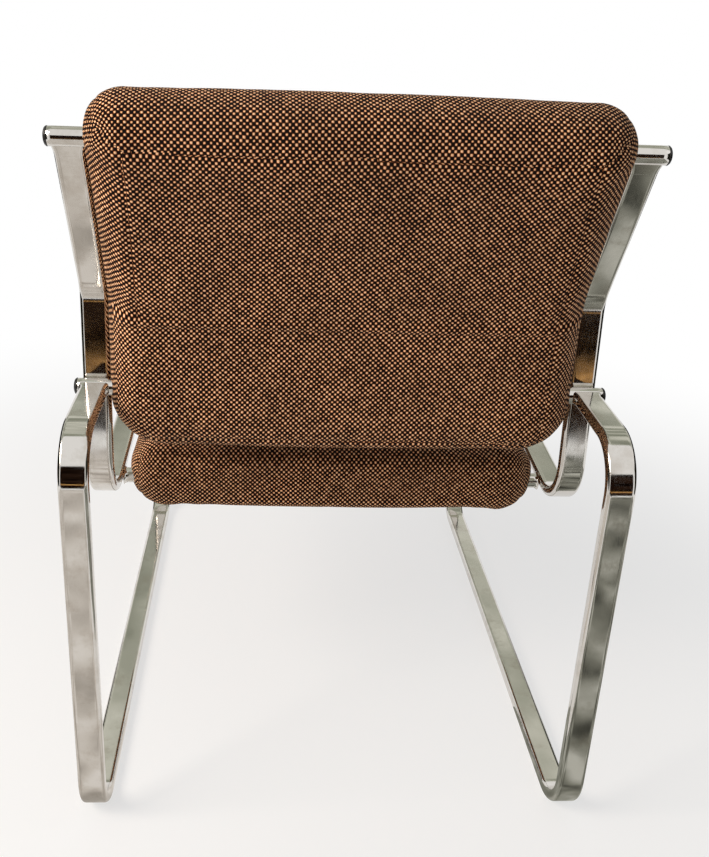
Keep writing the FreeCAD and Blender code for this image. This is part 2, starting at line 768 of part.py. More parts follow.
def upholstery(kind, foam_names, spine, rods, board, board_room, split, up_along):
    """Cover, two foam halves, clips and screws of one cushion.

    rods are the centres of the rods through it, board_room is the board
    with its clearance and split is the region on the board's side."""
    crowns = (size("cushion_crown"), size("cushion_far_crown"))
    play = size("soft_play")
    cloth = size("cover_cloth")
    length = number(ROD_LENGTH)
    outside = cushion_solid(spine, crowns, 0)
    inside = cushion_solid(spine, crowns, cloth)
    filling = cushion_solid(spine, crowns, cloth + play)
    bars = [rod_solid(rod, size("rod_radius") + play, length) for rod in rods]
    clips, screws, rooms, holes = [], [], [board_room], []
    for centre, (up, along) in zip(rods, up_along):
        for side in (1, -1):
            offset = side * size("clip_offset")
            wide_pair = clip_screws(centre, offset, up, along, size("screw_play"))
            clips.append(clip_solid(centre, offset, up, along, 0).cut(wide_pair))
            screws.extend(clip_screws(centre, offset, up, along, 0))
            holes.extend(wide_pair)
            rooms.append(clip_solid(centre, offset, up, along, play))
            rooms.extend(clip_screws(centre, offset, up, along, play))
    cover = outside.cut([inside] + bars)
    filling = filling.cut(rooms + bars)
    near = filling.common(split)
    far = filling.cut(split.translated(up_along[0][0] * -play))
    board = board.cut(holes)
    near_name, far_name = foam_names
    feature(kind + "_cover", largest(cover))
    feature(near_name, largest(near))
    feature(far_name, largest(far))
    feature(kind + "_board", largest(board))
    feature(kind + "_clips", Part.makeCompound([c.Solids[0] for c in clips]))
    feature(kind + "_clip_screws", Part.makeCompound([s.Solids[0] for s in screws]))


def largest(shape):
    """Return the largest solid of a shape."""
    return max(shape.Solids, key=lambda solid: solid.Volume)


def back_upholstery():
    """The back cushion on the top rod and the lumbar rod."""
    top = place_of(TOP_ROD)
    kink = place_of((KINK_Y, "Sizes.kink_height"))
    corner = place_of((CORNER_Y, "Sizes.corner_height"))
    lumbar = place_of(LUMBAR_ROD)
    upper = (top - kink).normalize()
    lower = (corner - kink).normalize()
    end = kink + lower * ((size("back_bottom") - kink.z) / lower.z)
    start = top + upper * size("back_above_rod")
    spine = Spine(start, end, kink, size("back_bend"))
    forward_upper = Vector(0, -upper.z, upper.y)
    forward_lower = Vector(0, lower.z, -lower.y)
    margin = size("board_margin")
    clear = size("rod_radius") + size("soft_play")
    thick = size("back_board_thickness")
    room = size("soft_play")
    foot_of_lumbar = lumbar + forward_lower * clear
    foot_of_top = top + forward_upper * clear
    low_end = foot_of_lumbar + lower * ((size("back_bottom") + margin - lumbar.z) / lower.z)
    high_end = foot_of_top + upper * (size("back_above_rod") - margin)
    bend = meeting(foot_of_top, upper, foot_of_lumbar, lower)
    rear = [high_end, bend, low_end]
    half = number(CUSHION_HALF_WIDTH) - margin
    board = slab(rear, (forward_upper, forward_lower), 0, thick, 0, half)
    board_room = slab(rear, (forward_upper, forward_lower), -room, thick + room, room, half + room)
    wide = number(CUSHION_HALF_WIDTH) + margin
    deep = size("cushion_thickness") * 2
    far_margin = margin + size("cushion_thickness")
    split = slab(rear, (forward_upper, forward_lower), 0, deep, far_margin, wide)
    upholstery(
        "back", ("back_front_foam", "back_rear_foam"), spine,
        (top, lumbar), board, board_room, split,
        ((forward_upper, upper), (forward_lower, lower)),
    )


def meeting(first, first_along, second, second_along):
    """Where two lines in the YZ plane meet."""
    across = first_along.y * second_along.z - first_along.z * second_along.y
    gap = second - first
    share = (gap.y * second_along.z - gap.z * second_along.y) / across
    return first + first_along * share


def slab(rear, forwards, low, high, longer, half_width):
    """A bent board between two offsets from the line rear, which has a
    start, a corner and an end; longer adds to both ends."""
    start, bend, end = rear
    up = (start - bend).normalize()
    down = (end - bend).normalize()
    start = start + up * longer
    end = end + down * longer
    inwards = (up + down).normalize()
    half_turn = (math.pi - up.getAngle(down)) / 2
    centre = bend + inwards * (size("board_bend") / math.cos(half_turn))
    sides = []
    for offset in (low, high):
        radius = size("board_bend") + offset
        middle = centre - inwards * (radius / math.cos(half_turn))
        reach = radius * math.tan(half_turn)
        sides.append((
            start + forwards[0] * offset,
            middle + up * reach,
            centre - inwards * radius,
            middle + down * reach,
            end + forwards[1] * offset,
        ))
    rear_side, front_side = sides
    front_side = front_side[::-1]
    edges = []
    for first, second in ((rear_side, front_side), (front_side, rear_side)):
        edges.append(Part.LineSegment(first[0], first[1]).toShape())
        edges.append(Part.Arc(first[1], first[2], first[3]).toShape())
        edges.append(Part.LineSegment(first[3], first[4]).toShape())
        edges.append(Part.LineSegment(first[4], second[0]).toShape())
    outline = Part.Wire(edges)
    outline.translate(Vector(-half_width, 0, 0))
    return Part.Face(outline).extrude(Vector(2 * half_width, 0, 0))


def seat_upholstery():
    """The seat cushion on the two seat rods, with its flat board on top of
    them."""
    rise = math.radians(size("rail_rise"))
    along = Vector(0, -math.cos(rise), math.sin(rise))
    up = Vector(0, math.sin(rise), math.cos(rise))
    rear = place_of((SEAT_REAR_Y, SEAT_REAR_Z))
    front = rear + along * size("seat_length")
    spine = Spine(rear, front)
    rods = (place_of(SEAT_REAR_ROD), place_of(SEAT_FRONT_ROD))
    margin = size("seat_board_end")
    clear = size("rod_radius") + size("soft_play") - size("rod_drop")
    thick = size("seat_board_thickness")
    room = size("soft_play")
    half = number(CUSHION_HALF_WIDTH) - size("board_margin")
    wide = number(CUSHION_HALF_WIDTH) + margin
    deep = size("cushion_thickness")

    def block(low, high, longer, half_width):
        start = rear + along * (margin - longer)
        end = front - along * (margin - longer)
        outline = [start + up * low, end + up * low, end + up * high, start + up * high]
        return prism(outline, half_width)

    board = block(clear, clear + thick, 0, half)
    board_room = block(clear - room, clear + thick + room, room, half + room)
    split = block(clear, clear + deep, 2 * margin + deep, wide)
    upholstery(
        "seat", ("seat_top_foam", "seat_under_foam"), spine,
        rods, board, board_room, split, ((up, along), (up, along)),
    )


def build():
    """Make every part of the chair."""
    side_tube("left_side_tube", 1)
    side_tube("right_side_tube", -1)
    cross_rod("top_rod", TOP_ROD, ROD_LENGTH)
    cross_rod("lumbar_rod", LUMBAR_ROD, ROD_LENGTH)
    cross_rod("seat_rear_rod", SEAT_REAR_ROD, SEAT_ROD_LENGTH)
    cross_rod("seat_front_rod", SEAT_FRONT_ROD, SEAT_ROD_LENGTH)
    for rod_name, place in (("top_rod", TOP_ROD), ("lumbar_rod", LUMBAR_ROD)):
        end_cap(rod_name + "_left_cap", place, 1)
        end_cap(rod_name + "_right_cap", place, -1)
    top = place_of(TOP_ROD)
    kink = place_of((KINK_Y, "Sizes.kink_height"))
    weld_group("top_rod_welds", top, (kink - top).normalize())
    fall = math.radians(size("leg_fall"))
    weld_group("leg_top_welds", place_of(LUMBAR_ROD), Vector(0, math.cos(fall), -math.sin(fall)))
    seat_rod_welds()
    back_upholstery()
    seat_upholstery()


def nodes():
    """Return the objects that are parts: bodies and plain features."""
    kinds = ("PartDesign::Body", "Part::Feature")
    return [obj for obj in doc.Objects if obj.TypeId in kinds]


def check():
    """Stop if any object failed or any part has no sound shape."""
    for obj in doc.Objects:
        if "Invalid" in obj.State or "Error" in obj.State:
            raise RuntimeError("failed: " + obj.Label)
    for obj in nodes():
        if obj.Shape.isNull() or not obj.Shape.isValid() or not obj.Shape.Solids:
            raise RuntimeError("no sound shape: " + obj.Label)


build()
doc.recompute()
check()
os.makedirs("parts", exist_ok=True)
for part in nodes():
    part.Shape.exportStep("parts/" + part.Label + ".step")
    print("%-24s %2d solids %12.1f mm3" % (part.Label, len(part.Shape.Solids), part.Shape.Volume))
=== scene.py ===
"""Finish of a lounge chair: chromed flat-oval side tubes, round cross rods and woven cushions.

Everything is in metres in the chair's own frame: +Z up, the front towards -Y and
the sitter's left towards +X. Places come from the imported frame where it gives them.
"""

import logging
import math
from dataclasses import dataclass, field
from enum import Enum
from typing import Any, Iterable, Sequence

import bpy
import numpy as np
from mathutils import Matrix, Vector


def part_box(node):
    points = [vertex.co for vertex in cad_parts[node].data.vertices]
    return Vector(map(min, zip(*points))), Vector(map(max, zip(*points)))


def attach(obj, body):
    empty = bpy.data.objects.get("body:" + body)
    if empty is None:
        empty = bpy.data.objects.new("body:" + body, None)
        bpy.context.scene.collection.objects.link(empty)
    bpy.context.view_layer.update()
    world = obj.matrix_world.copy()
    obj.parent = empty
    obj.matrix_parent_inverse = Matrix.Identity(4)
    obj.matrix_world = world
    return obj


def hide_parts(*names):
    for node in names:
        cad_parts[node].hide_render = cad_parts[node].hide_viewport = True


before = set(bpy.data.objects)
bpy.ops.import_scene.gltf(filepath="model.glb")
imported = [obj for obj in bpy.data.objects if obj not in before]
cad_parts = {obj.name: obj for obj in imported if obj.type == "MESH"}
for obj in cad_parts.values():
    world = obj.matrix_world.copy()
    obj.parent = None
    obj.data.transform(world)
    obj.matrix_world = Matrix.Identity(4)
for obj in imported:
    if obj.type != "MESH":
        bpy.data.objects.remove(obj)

LOG = logging.getLogger("chair")
MM = 0.001
BODY = "root"

TINY = 1e-9  # keeps a division off zero
TINY_ANGLE = 1e-6  # below this a line counts as straight and a face as flat
FAR = 1.0  # further than any point lies from a seam, in metres
DIAGONAL = 0.7  # about the cosine of 45 degrees


class Side(Enum):
    """The sitter's side of the chair, as the sign of X."""

    LEFT = 1
    RIGHT = -1

    @property
    def word(self) -> str:
        """The side's name in piece names."""
        return self.name.lower()


class Panel(Enum):
    """Pieces of cloth that a cushion's cover is sewn from."""

    REAR = 0
    SIDE = 1
    END = 2
    FACE = 3


# Materials

def linear(colour: str) -> tuple[float, float, float, float]:
    """Turn an sRGB hex colour into linear red, green, blue and alpha.

    Args:
        colour: six hex digits after a hash sign.

    Returns:
        The four values as a shader takes them.
    """
    values = [int(colour[i:i + 2], 16) / 255 for i in (1, 3, 5)]
    curve = [v / 12.92 if v <= 0.04045 else ((v + 0.055) / 1.055) ** 2.4 for v in values]
    return (*curve, 1.0)


def add_node(
    tree: bpy.types.NodeTree,
    kind: str,
    settings: dict[str, Any] | None = None,
    inputs: dict[int | str, Any] | None = None,
) -> bpy.types.Node:
    """Add a shader node, set its properties and feed its sockets.

    Args:
        tree: the node tree that gets the node.
        kind: the node's type without its ShaderNode prefix.
        settings: properties of the node itself.
        inputs: socket name or number to a value, or to an output socket to link.

    Returns:
        The new node.
    """
    node = tree.nodes.new("ShaderNode" + kind)
    for name, value in (settings or {}).items():
        setattr(node, name, value)
    for name, value in (inputs or {}).items():
        if isinstance(value, bpy.types.NodeSocket):
            tree.links.new(value, node.inputs[name])
        else:
            node.inputs[name].default_value = value
    return node


def new_material(name: str) -> tuple[bpy.types.Material, bpy.types.NodeTree, bpy.types.Node]:
    """Start a material with a bare Principled shader.

    Args:
        name: the material's name.

    Returns:
        The material, its tree and its shader node.
    """
    material = bpy.data.materials.new(name)
    material.use_nodes = True
    tree = material.node_tree
    tree.nodes.clear()
    shader = add_node(tree, "BsdfPrincipled")
    add_node(tree, "OutputMaterial", inputs={"Surface": shader.outputs["BSDF"]})
    return material, tree, shader


def outlet(tree: bpy.types.NodeTree) -> bpy.types.Node:
    """The node through which a material's tree reaches the surface."""
    return next(node for node in tree.nodes if node.type == "OUTPUT_MATERIAL")


def ramp(
    tree: bpy.types.NodeTree, factor: bpy.types.NodeSocket, stops: Sequence[tuple[float, str]],
) -> bpy.types.NodeSocket:
    """Add a colour ramp fed by a factor.

    Args:
        tree: the node tree.
        factor: the socket that drives the ramp.
        stops: positions from 0 to 1 with their hex colours.

    Returns:
        The ramp's colour socket.
    """
    node = add_node(tree, "ValToRGB", inputs={"Fac": factor})
    elements = node.color_ramp.elements
    while len(elements) < len(stops):
        elements.new(0.5)
    for element, (position, colour) in zip(elements, stops):
        element.position = position
        element.color = linear(colour)
    return node.outputs["Color"]


@dataclass(frozen=True)
class ChromePlate:
    """Steel tube, polished and chrome plated, decades old.

    The plate mirrors its surroundings. The tube under it was drawn and bent, so
    the mirror wavers slowly along it, and a thin haze of fine wear dulls patches.
    """

    name: str = "chrome_plate"
    tone: str = "#d6d2cc"
    worn_tone: str = "#b9b1a6"
    mirror_roughness: float = 0.05
    haze_roughness: float = 0.17
    waver_mm: float = 55.0
    waver_depth_mm: float = 0.6
    waver_strength: float = 0.35
    haze_mm: float = 38.0
    haze_break: float = 0.62
    scratch_mm: float = 1.6
    scratch_stretch: float = 0.22
    scratch_share: float = 0.25
    scratch_depth_mm: float = 0.05
    scratch_strength: float = 0.02
    wear_span: tuple[float, float] = (0.45, 0.95)
    worn_span: tuple[float, float] = (0.5, 0.8)

    def material(self) -> bpy.types.Material:
        """Build the material.

        Returns:
            The finish, ready to go on a piece.
        """
        material, tree, shader = new_material(self.name)
        place = add_node(tree, "TexCoord").outputs["Object"]
        haze = add_node(tree, "TexNoise", inputs={
            "Vector": place, "Scale": 1 / (self.haze_mm * MM), "Detail": 6.0,
            "Roughness": self.haze_break})
        long_way = add_node(tree, "Mapping", inputs={
            "Vector": place, "Scale": (1.0, self.scratch_stretch, self.scratch_stretch)})
        scratch = add_node(tree, "TexNoise", inputs={
            "Vector": long_way.outputs[0], "Scale": 1 / (self.scratch_mm * MM), "Detail": 3.0})
        mixed = add_node(tree, "Math", {"operation": "MULTIPLY_ADD"}, {
            0: scratch.outputs["Fac"], 1: self.scratch_share, 2: haze.outputs["Fac"]})
        wear = add_node(tree, "MapRange", inputs={
            "Value": mixed.outputs[0], "From Min": self.wear_span[0], "From Max": self.wear_span[1],
            "To Min": self.mirror_roughness, "To Max": self.haze_roughness})
        tree.links.new(wear.outputs[0], shader.inputs["Roughness"])
        share = add_node(tree, "MapRange", inputs={
            "Value": haze.outputs["Fac"],
            "From Min": self.worn_span[0], "From Max": self.worn_span[1]})
        colour = ramp(tree, share.outputs[0], ((0.0, self.tone), (1.0, self.worn_tone)))
        tree.links.new(colour, shader.inputs["Base Color"])
        shader.inputs["Metallic"].default_value = 1.0
        waver = add_node(tree, "TexNoise", inputs={
            "Vector": place, "Scale": 1 / (self.waver_mm * MM), "Detail": 1.0})
        slow = add_node(tree, "Bump", inputs={
            "Height": waver.outputs["Fac"], "Strength": self.waver_strength,
            "Distance": self.waver_depth_mm * MM})
        fine = add_node(tree, "Bump", inputs={
            "Height": scratch.outputs["Fac"], "Strength": self.scratch_strength,
            "Distance": self.scratch_depth_mm * MM, "Normal": slow.outputs[0]})
        tree.links.new(fine.outputs[0], shader.inputs["Normal"])
        return material


@dataclass(frozen=True)
class HopsackCloth:
    """Wool hopsack in brown and tan, woven two over two.

    Tan floats stand up as round dots in a chequer, with dark brown floats between
    them, so the cloth looks spotted. The colour ramp paints light and shade into
    the colour: it darkens the brown between the dots to near black as painted
    shade, and pales the tops of the dots towards white as a painted highlight. The
    threads wander by their slack, the dye differs a little from dot to dot, and the
    wool has faded in patches. Wool has hardly any gloss and a faint sheen of loose
    hairs.
    """

    name: str = "hopsack_cloth"
    cell_mm: float = 3.1
    strands: float = 3.0
    strand_height: float = 0.06
    slack: float = 0.16
    wander_mm: float = 1000 / 95
    dye_share: float = 0.16
    patch_mm: float = 1000 / 14
    faded: tuple[float, float] = (0.86, 1.1)
    relief_mm: float = 0.9
    relief_strength: float = 0.8
    roughness: float = 0.92
    gloss: float = 0.12
    hair_sheen: float = 0.03
    hair_roughness: float = 0.5
    # The yarn's own brown and tan lie in the middle stops; the near-black low end is painted shade
    # between the dots and the near-white top end is a painted highlight on them.
    tones: tuple[tuple[float, str], ...] = (
        (0.0, "#030100"),
        (0.48, "#0b0302"),
        (0.6, "#622a12"),
        (0.7, "#c97f4c"),
        (0.82, "#ffc58f"),
        (1.0, "#ffe0bc"),
    )

    def material(self) -> bpy.types.Material:
        """Build the material.

        Returns:
            The finish, ready to go on a piece.
        """
        material, tree, shader = new_material(self.name)
        cloth = add_node(tree, "UVMap", {"uv_map": "weave"}).outputs[0]
        drift = add_node(tree, "TexNoise", inputs={
            "Vector": cloth, "Scale": 1 / (self.wander_mm * MM), "Detail": 1.0})
        centred = add_node(tree, "VectorMath", {"operation": "SUBTRACT"}, {
            0: drift.outputs["Color"], 1: (0.5, 0.5, 0.5)})
        cells = add_node(tree, "VectorMath", {"operation": "SCALE"}, {
            0: cloth, "Scale": 1 / (self.cell_mm * MM)})
        loose = add_node(tree, "VectorMath", {"operation": "MULTIPLY_ADD"}, {
            0: centred.outputs[0], 1: (4 * self.slack, 4 * self.slack, 0.0), 2: cells.outputs[0]})
        axes = add_node(tree, "SeparateXYZ", inputs={0: loose.outputs[0]})
        weft, warp = axes.outputs[0], axes.outputs[1]
        chequer = self._waves(tree, weft, warp)
        shade = add_node(tree, "MapRange", inputs={
            "Value": chequer, "From Min": -1.0, "From Max": 1.0})
        wobble = self._per_dot(tree, weft, warp)
        level = add_node(tree, "Math", {"operation": "MULTIPLY_ADD"}, {
            0: wobble, 1: self.dye_share, 2: shade.outputs[0]})
        level = add_node(tree, "Math", {"operation": "SUBTRACT", "use_clamp": True}, {
            0: level.outputs[0], 1: self.dye_share / 2})
        # Painted shade and highlight: the ramp turns the low brown floats near black and the tops
        # of the tan dots near white.
        colour = ramp(tree, level.outputs[0], self.tones)
        patch = add_node(tree, "TexNoise", inputs={
            "Vector": cloth, "Scale": 1 / (self.patch_mm * MM), "Detail": 3.0})
        faded = add_node(tree, "MapRange", inputs={
            "Value": patch.outputs["Fac"], "From Min": 0.3, "From Max": 0.7,
            "To Min": self.faded[0], "To Max": self.faded[1]})
        worn = add_node(tree, "Mix", {"data_type": "RGBA", "blend_type": "MULTIPLY"}, {
            0: 1.0, 6: colour, 7: faded.outputs[0]})
        tree.links.new(worn.outputs[2], shader.inputs["Base Color"])
        height = self._relief(tree, chequer, weft, warp)
        bump = add_node(tree, "Bump", inputs={
            "Height": height, "Strength": self.relief_strength, "Distance": self.relief_mm * MM})
        tree.links.new(bump.outputs[0], shader.inputs["Normal"])
        shader.inputs["Roughness"].default_value = self.roughness
        shader.inputs["Specular IOR Level"].default_value = self.gloss
        shader.inputs["Sheen Weight"].default_value = self.hair_sheen
        shader.inputs["Sheen Roughness"].default_value = self.hair_roughness
        return material

    def _waves(
        self, tree: bpy.types.NodeTree, weft: bpy.types.NodeSocket, warp: bpy.types.NodeSocket,
    ) -> bpy.types.NodeSocket:
        """Cosine of the weft place times cosine of the warp place.

        Args:
            tree: the node tree.
            weft: the place across the cloth, in cells.
            warp: the place along the cloth, in cells.

        Returns:
            A socket that is +1 on the tan dots and -1 on the brown ones.
        """
        waves = []
        for axis in (weft, warp):
            turned = add_node(tree, "Math", {"operation": "MULTIPLY"}, {0: axis, 1: math.pi})
            waves.append(add_node(tree, "Math", {"operation": "COSINE"}, {0: turned.outputs[0]}))
        product = add_node(tree, "Math", {"operation": "MULTIPLY"}, {
            0: waves[0].outputs[0], 1: waves[1].outputs[0]})
        return product.outputs[0]

    def _per_dot(
        self, tree: bpy.types.NodeTree, weft: bpy.types.NodeSocket, warp: bpy.types.NodeSocket,
    ) -> bpy.types.NodeSocket:
        """A random value that is the same all over one dot: the yarn's uneven dye.

        The dots lie on diagonals, so half the sum and half the difference of the
        two places, both rounded, number them.

        Args:
            tree: the node tree.
            weft: the place across the cloth, in cells.
            warp: the place along the cloth, in cells.

        Returns:
            A socket from 0 to 1.
        """
        numbers = []
        for operation in ("ADD", "SUBTRACT"):
            joined = add_node(tree, "Math", {"operation": operation}, {0: weft, 1: warp})
            halved = add_node(tree, "Math", {"operation": "MULTIPLY"}, {
                0: joined.outputs[0], 1: 0.5})
            numbers.append(add_node(tree, "Math", {"operation": "ROUND"}, {0: halved.outputs[0]}))
        cell = add_node(tree, "CombineXYZ", inputs={
            0: numbers[0].outputs[0], 1: numbers[1].outputs[0]})
        noise = add_node(tree, "TexWhiteNoise", {"noise_dimensions": "2D"}, {
            "Vector": cell.outputs[0]})
        return noise.outputs["Value"]

    def _relief(
        self, tree: bpy.types.NodeTree, chequer: bpy.types.NodeSocket,
        weft: bpy.types.NodeSocket, warp: bpy.types.NodeSocket,
    ) -> bpy.types.NodeSocket:
        """Height of the cloth: a dome on every float, ribbed by its strands.

        A dome is the chequer without its sign, lower on the brown floats. A rib is
        the cosine of the place, as many times a cell as a float has strands.

        Args:
            tree: the node tree.
            chequer: +1 on the tan dots and -1 on the brown ones.
            weft: the place across the cloth, in cells.
            warp: the place along the cloth, in cells.

        Returns:
            The height's socket, from 0 to about 1.
        """
        dome = add_node(tree, "Math", {"operation": "ABSOLUTE"}, {0: chequer})
        lifted = add_node(tree, "MapRange", inputs={
            "Value": chequer, "From Min": -0.2, "From Max": 0.6, "To Min": 0.35, "To Max": 1.0})
        high = add_node(tree, "Math", {"operation": "MULTIPLY"}, {
            0: dome.outputs[0], 1: lifted.outputs[0]})
        ribs = []
        for axis in (weft, warp):
            turned = add_node(tree, "Math", {"operation": "MULTIPLY"}, {
                0: axis, 1: 2 * math.pi * self.strands})
            ribs.append(add_node(tree, "Math", {"operation": "COSINE"}, {0: turned.outputs[0]}))
        on_top = add_node(tree, "Math", {"operation": "GREATER_THAN"}, {0: chequer, 1: 0.0})
        strand = add_node(tree, "Mix", {"data_type": "FLOAT"}, {
            0: on_top.outputs[0], 2: ribs[0].outputs[0], 3: ribs[1].outputs[0]})
        total = add_node(tree, "Math", {"operation": "MULTIPLY_ADD"}, {
            0: strand.outputs[0], 1: self.strand_height, 2: high.outputs[0]})
        return total.outputs[0]


@dataclass(frozen=True)
class CapPlastic:
    """Black polyethylene end cap, injection moulded: a soft gloss with faint scuffs."""

    name: str = "cap_plastic"
    tone: str = "#121110"
    scuffed: str = "#2a2826"
    scuff_mm: float = 2.5
    scuff_depth_mm: float = 0.1
    scuff_strength: float = 0.15
    scuff_span: tuple[float, float] = (0.5, 0.75)
    roughness: tuple[float, float] = (0.25, 0.5)

    def material(self) -> bpy.types.Material:
        """Build the material.

        Returns:
            The finish, ready to go on a piece.
        """
        material, tree, shader = new_material(self.name)
        place = add_node(tree, "TexCoord").outputs["Object"]
        scuff = add_node(tree, "TexNoise", inputs={
            "Vector": place, "Scale": 1 / (self.scuff_mm * MM), "Detail": 5.0})
        share = add_node(tree, "MapRange", inputs={
            "Value": scuff.outputs["Fac"],
            "From Min": self.scuff_span[0], "From Max": self.scuff_span[1]})
        colour = ramp(tree, share.outputs[0], ((0.0, self.tone), (1.0, self.scuffed)))
        tree.links.new(colour, shader.inputs["Base Color"])
        rough = add_node(tree, "MapRange", inputs={
            "Value": scuff.outputs["Fac"],
            "To Min": self.roughness[0], "To Max": self.roughness[1]})
        tree.links.new(rough.outputs[0], shader.inputs["Roughness"])
        bump = add_node(tree, "Bump", inputs={
            "Height": scuff.outputs["Fac"], "Strength": self.scuff_strength,
            "Distance": self.scuff_depth_mm * MM})
        tree.links.new(bump.outputs[0], shader.inputs["Normal"])
        return material


@dataclass(frozen=True)
class BirchPly:
    """Bare birch plywood, rotary cut: pale, with a slow figure along the board."""

    name: str = "birch_ply"
    pale: str = "#d9bd92"
    dark: str = "#b08d5f"
    figure_mm: float = 24.0
    figure_stretch: float = 0.12
    grain_depth_mm: float = 0.2
    grain_strength: float = 0.2
    roughness: float = 0.6

    def material(self) -> bpy.types.Material:
        """Build the material.

        Returns:
            The finish, ready to go on a piece.
        """
        material, tree, shader = new_material(self.name)
        place = add_node(tree, "TexCoord").outputs["Object"]
        grain = add_node(tree, "Mapping", inputs={
            "Vector": place, "Scale": (self.figure_stretch, 1.0, 1.0)})
        figure = add_node(tree, "TexNoise", inputs={
            "Vector": grain.outputs[0], "Scale": 1 / (self.figure_mm * MM), "Detail": 7.0})
        colour = ramp(tree, figure.outputs["Fac"], ((0.35, self.dark), (0.65, self.pale)))
        tree.links.new(colour, shader.inputs["Base Color"])
        bump = add_node(tree, "Bump", inputs={
            "Height": figure.outputs["Fac"], "Strength": self.grain_strength,
            "Distance": self.grain_depth_mm * MM})
        tree.links.new(bump.outputs[0], shader.inputs["Normal"])
        shader.inputs["Roughness"].default_value = self.roughness
        return material


@dataclass(frozen=True)
class ZincSteel:
    """Zinc plated mild steel: bluish grey, dulled in patches."""

    name: str = "zinc_steel"
    bright: str = "#b9bec2"
    dull: str = "#84898c"
    patch_mm: float = 6.0
    roughness: tuple[float, float] = (0.28, 0.5)

    def material(self) -> bpy.types.Material:
        """Build the material.

        Returns:
            The finish, ready to go on a piece.
        """
        material, tree, shader = new_material(self.name)
        place = add_node(tree, "TexCoord").outputs["Object"]
        patch = add_node(tree, "TexNoise", inputs={
            "Vector": place, "Scale": 1 / (self.patch_mm * MM), "Detail": 4.0})
        colour = ramp(tree, patch.outputs["Fac"], ((0.4, self.bright), (0.7, self.dull)))
        tree.links.new(colour, shader.inputs["Base Color"])
        rough = add_node(tree, "MapRange", inputs={
            "Value": patch.outputs["Fac"],
            "To Min": self.roughness[0], "To Max": self.roughness[1]})
        tree.links.new(rough.outputs[0], shader.inputs["Roughness"])
        shader.inputs["Metallic"].default_value = 1.0
        return material


# Surfaces

def rounded_rectangle(
    half_width: np.ndarray, half_depth: np.ndarray, radius: np.ndarray,
    arc_points: int = 9, flat_shares: Iterable[float] = (0.06, 0.5, 0.94),
) -> np.ndarray:
    """Outlines of rectangles with round corners, one for each row of sizes.

    Each corner is a quarter circle about the corner of the inner rectangle, and
    the flats get points at the given shares so that they shade flat.

    Args:
        half_width: half the width of each outline.
        half_depth: half the depth of each outline.
        radius: the corner radius of each outline.
        arc_points: points on each quarter circle.
        flat_shares: places of the extra points along each flat, from 0 to 1.

    Returns:
        An array of rows by points by 2, anticlockwise.
    """
    width, depth, bend = (np.atleast_1d(v).astype(float)[:, None, None] for v in (
        half_width, half_depth, radius))
    sign_w = np.array([1, -1, -1, 1])[None, :, None]
    sign_d = np.array([1, 1, -1, -1])[None, :, None]
    turn = np.linspace(0, math.pi / 2, arc_points)[None, None, :]
    angle = turn + (np.arange(4) * math.pi / 2)[None, :, None]
    arcs = np.stack([
        sign_w * (width - bend) + bend * np.cos(angle),
        sign_d * (depth - bend) + bend * np.sin(angle)], axis=-1)
    share = np.array(list(flat_shares))[None, None, :, None]
    starts = arcs[:, :, -1:, :]
    ends = np.roll(arcs, -1, axis=1)[:, :, :1, :]
    flats = starts + (ends - starts) * share
    return np.concatenate([arcs, flats], axis=2).reshape(arcs.shape[0], -1, 2)


def shell(name: str, grids: Sequence[np.ndarray]) -> bpy.types.Object:
    """Make one smooth object from closed tubes of points.

    Each grid is rows by columns by 3. It closes on itself round its columns, and
    its first and last row are closed with a flat face, whose rim is sharp so that
    it doesn't bend the shading beside it. Faces are turned outwards by the sign
    of the volume that they enclose.

    Args:
        name: the object's name.
        grids: one grid for each closed surface.

    Returns:
        The linked object, at the origin.
    """
    points, faces, rims, base = [], [], [], 0
    for grid in grids:
        rows, columns = grid.shape[:2]
        index = np.arange(rows * columns).reshape(rows, columns) + base
        beside = np.roll(index, -1, axis=1)
        quads = np.stack([index[:-1], beside[:-1], beside[1:], index[1:]], axis=-1).reshape(-1, 4)
        flat = grid.reshape(-1, 3)
        corners = flat[quads - base]
        spans = np.cross(corners[:, 2] - corners[:, 0], corners[:, 3] - corners[:, 1])
        volume = np.einsum("ij,ij->", corners.mean(axis=1) - flat.mean(axis=0), spans)
        ends = [index[0][::-1].tolist(), index[-1].tolist()]
        if volume < 0:
            quads = quads[:, ::-1]
            ends = [end[::-1] for end in ends]
        points.append(flat)
        faces.extend(quads.tolist())
        faces.extend(ends)
        rim = np.zeros((rows, columns), dtype=int)
        rim[0], rim[-1] = 2 * len(rims) + 1, 2 * len(rims) + 2
        rims.append(rim.ravel())
        base += rows * columns
    mesh = bpy.data.meshes.new(name)
    mesh.from_pydata(np.concatenate(points).tolist(), [], faces)
    sizes = np.zeros(len(mesh.polygons), dtype=np.int32)
    mesh.polygons.foreach_get("loop_total", sizes)
    mesh.polygons.foreach_set("use_smooth", sizes == 4)
    rim = np.concatenate(rims)
    pairs = np.zeros(2 * len(mesh.edges), dtype=np.int32)
    mesh.edges.foreach_get("vertices", pairs)
    first, second = rim[pairs.reshape(-1, 2)].T
    mesh.edges.foreach_set("use_edge_sharp", (first > 0) & (first == second))
    mesh.update()
    piece = bpy.data.objects.new(name, mesh)
    bpy.context.scene.collection.objects.link(piece)
    return piece


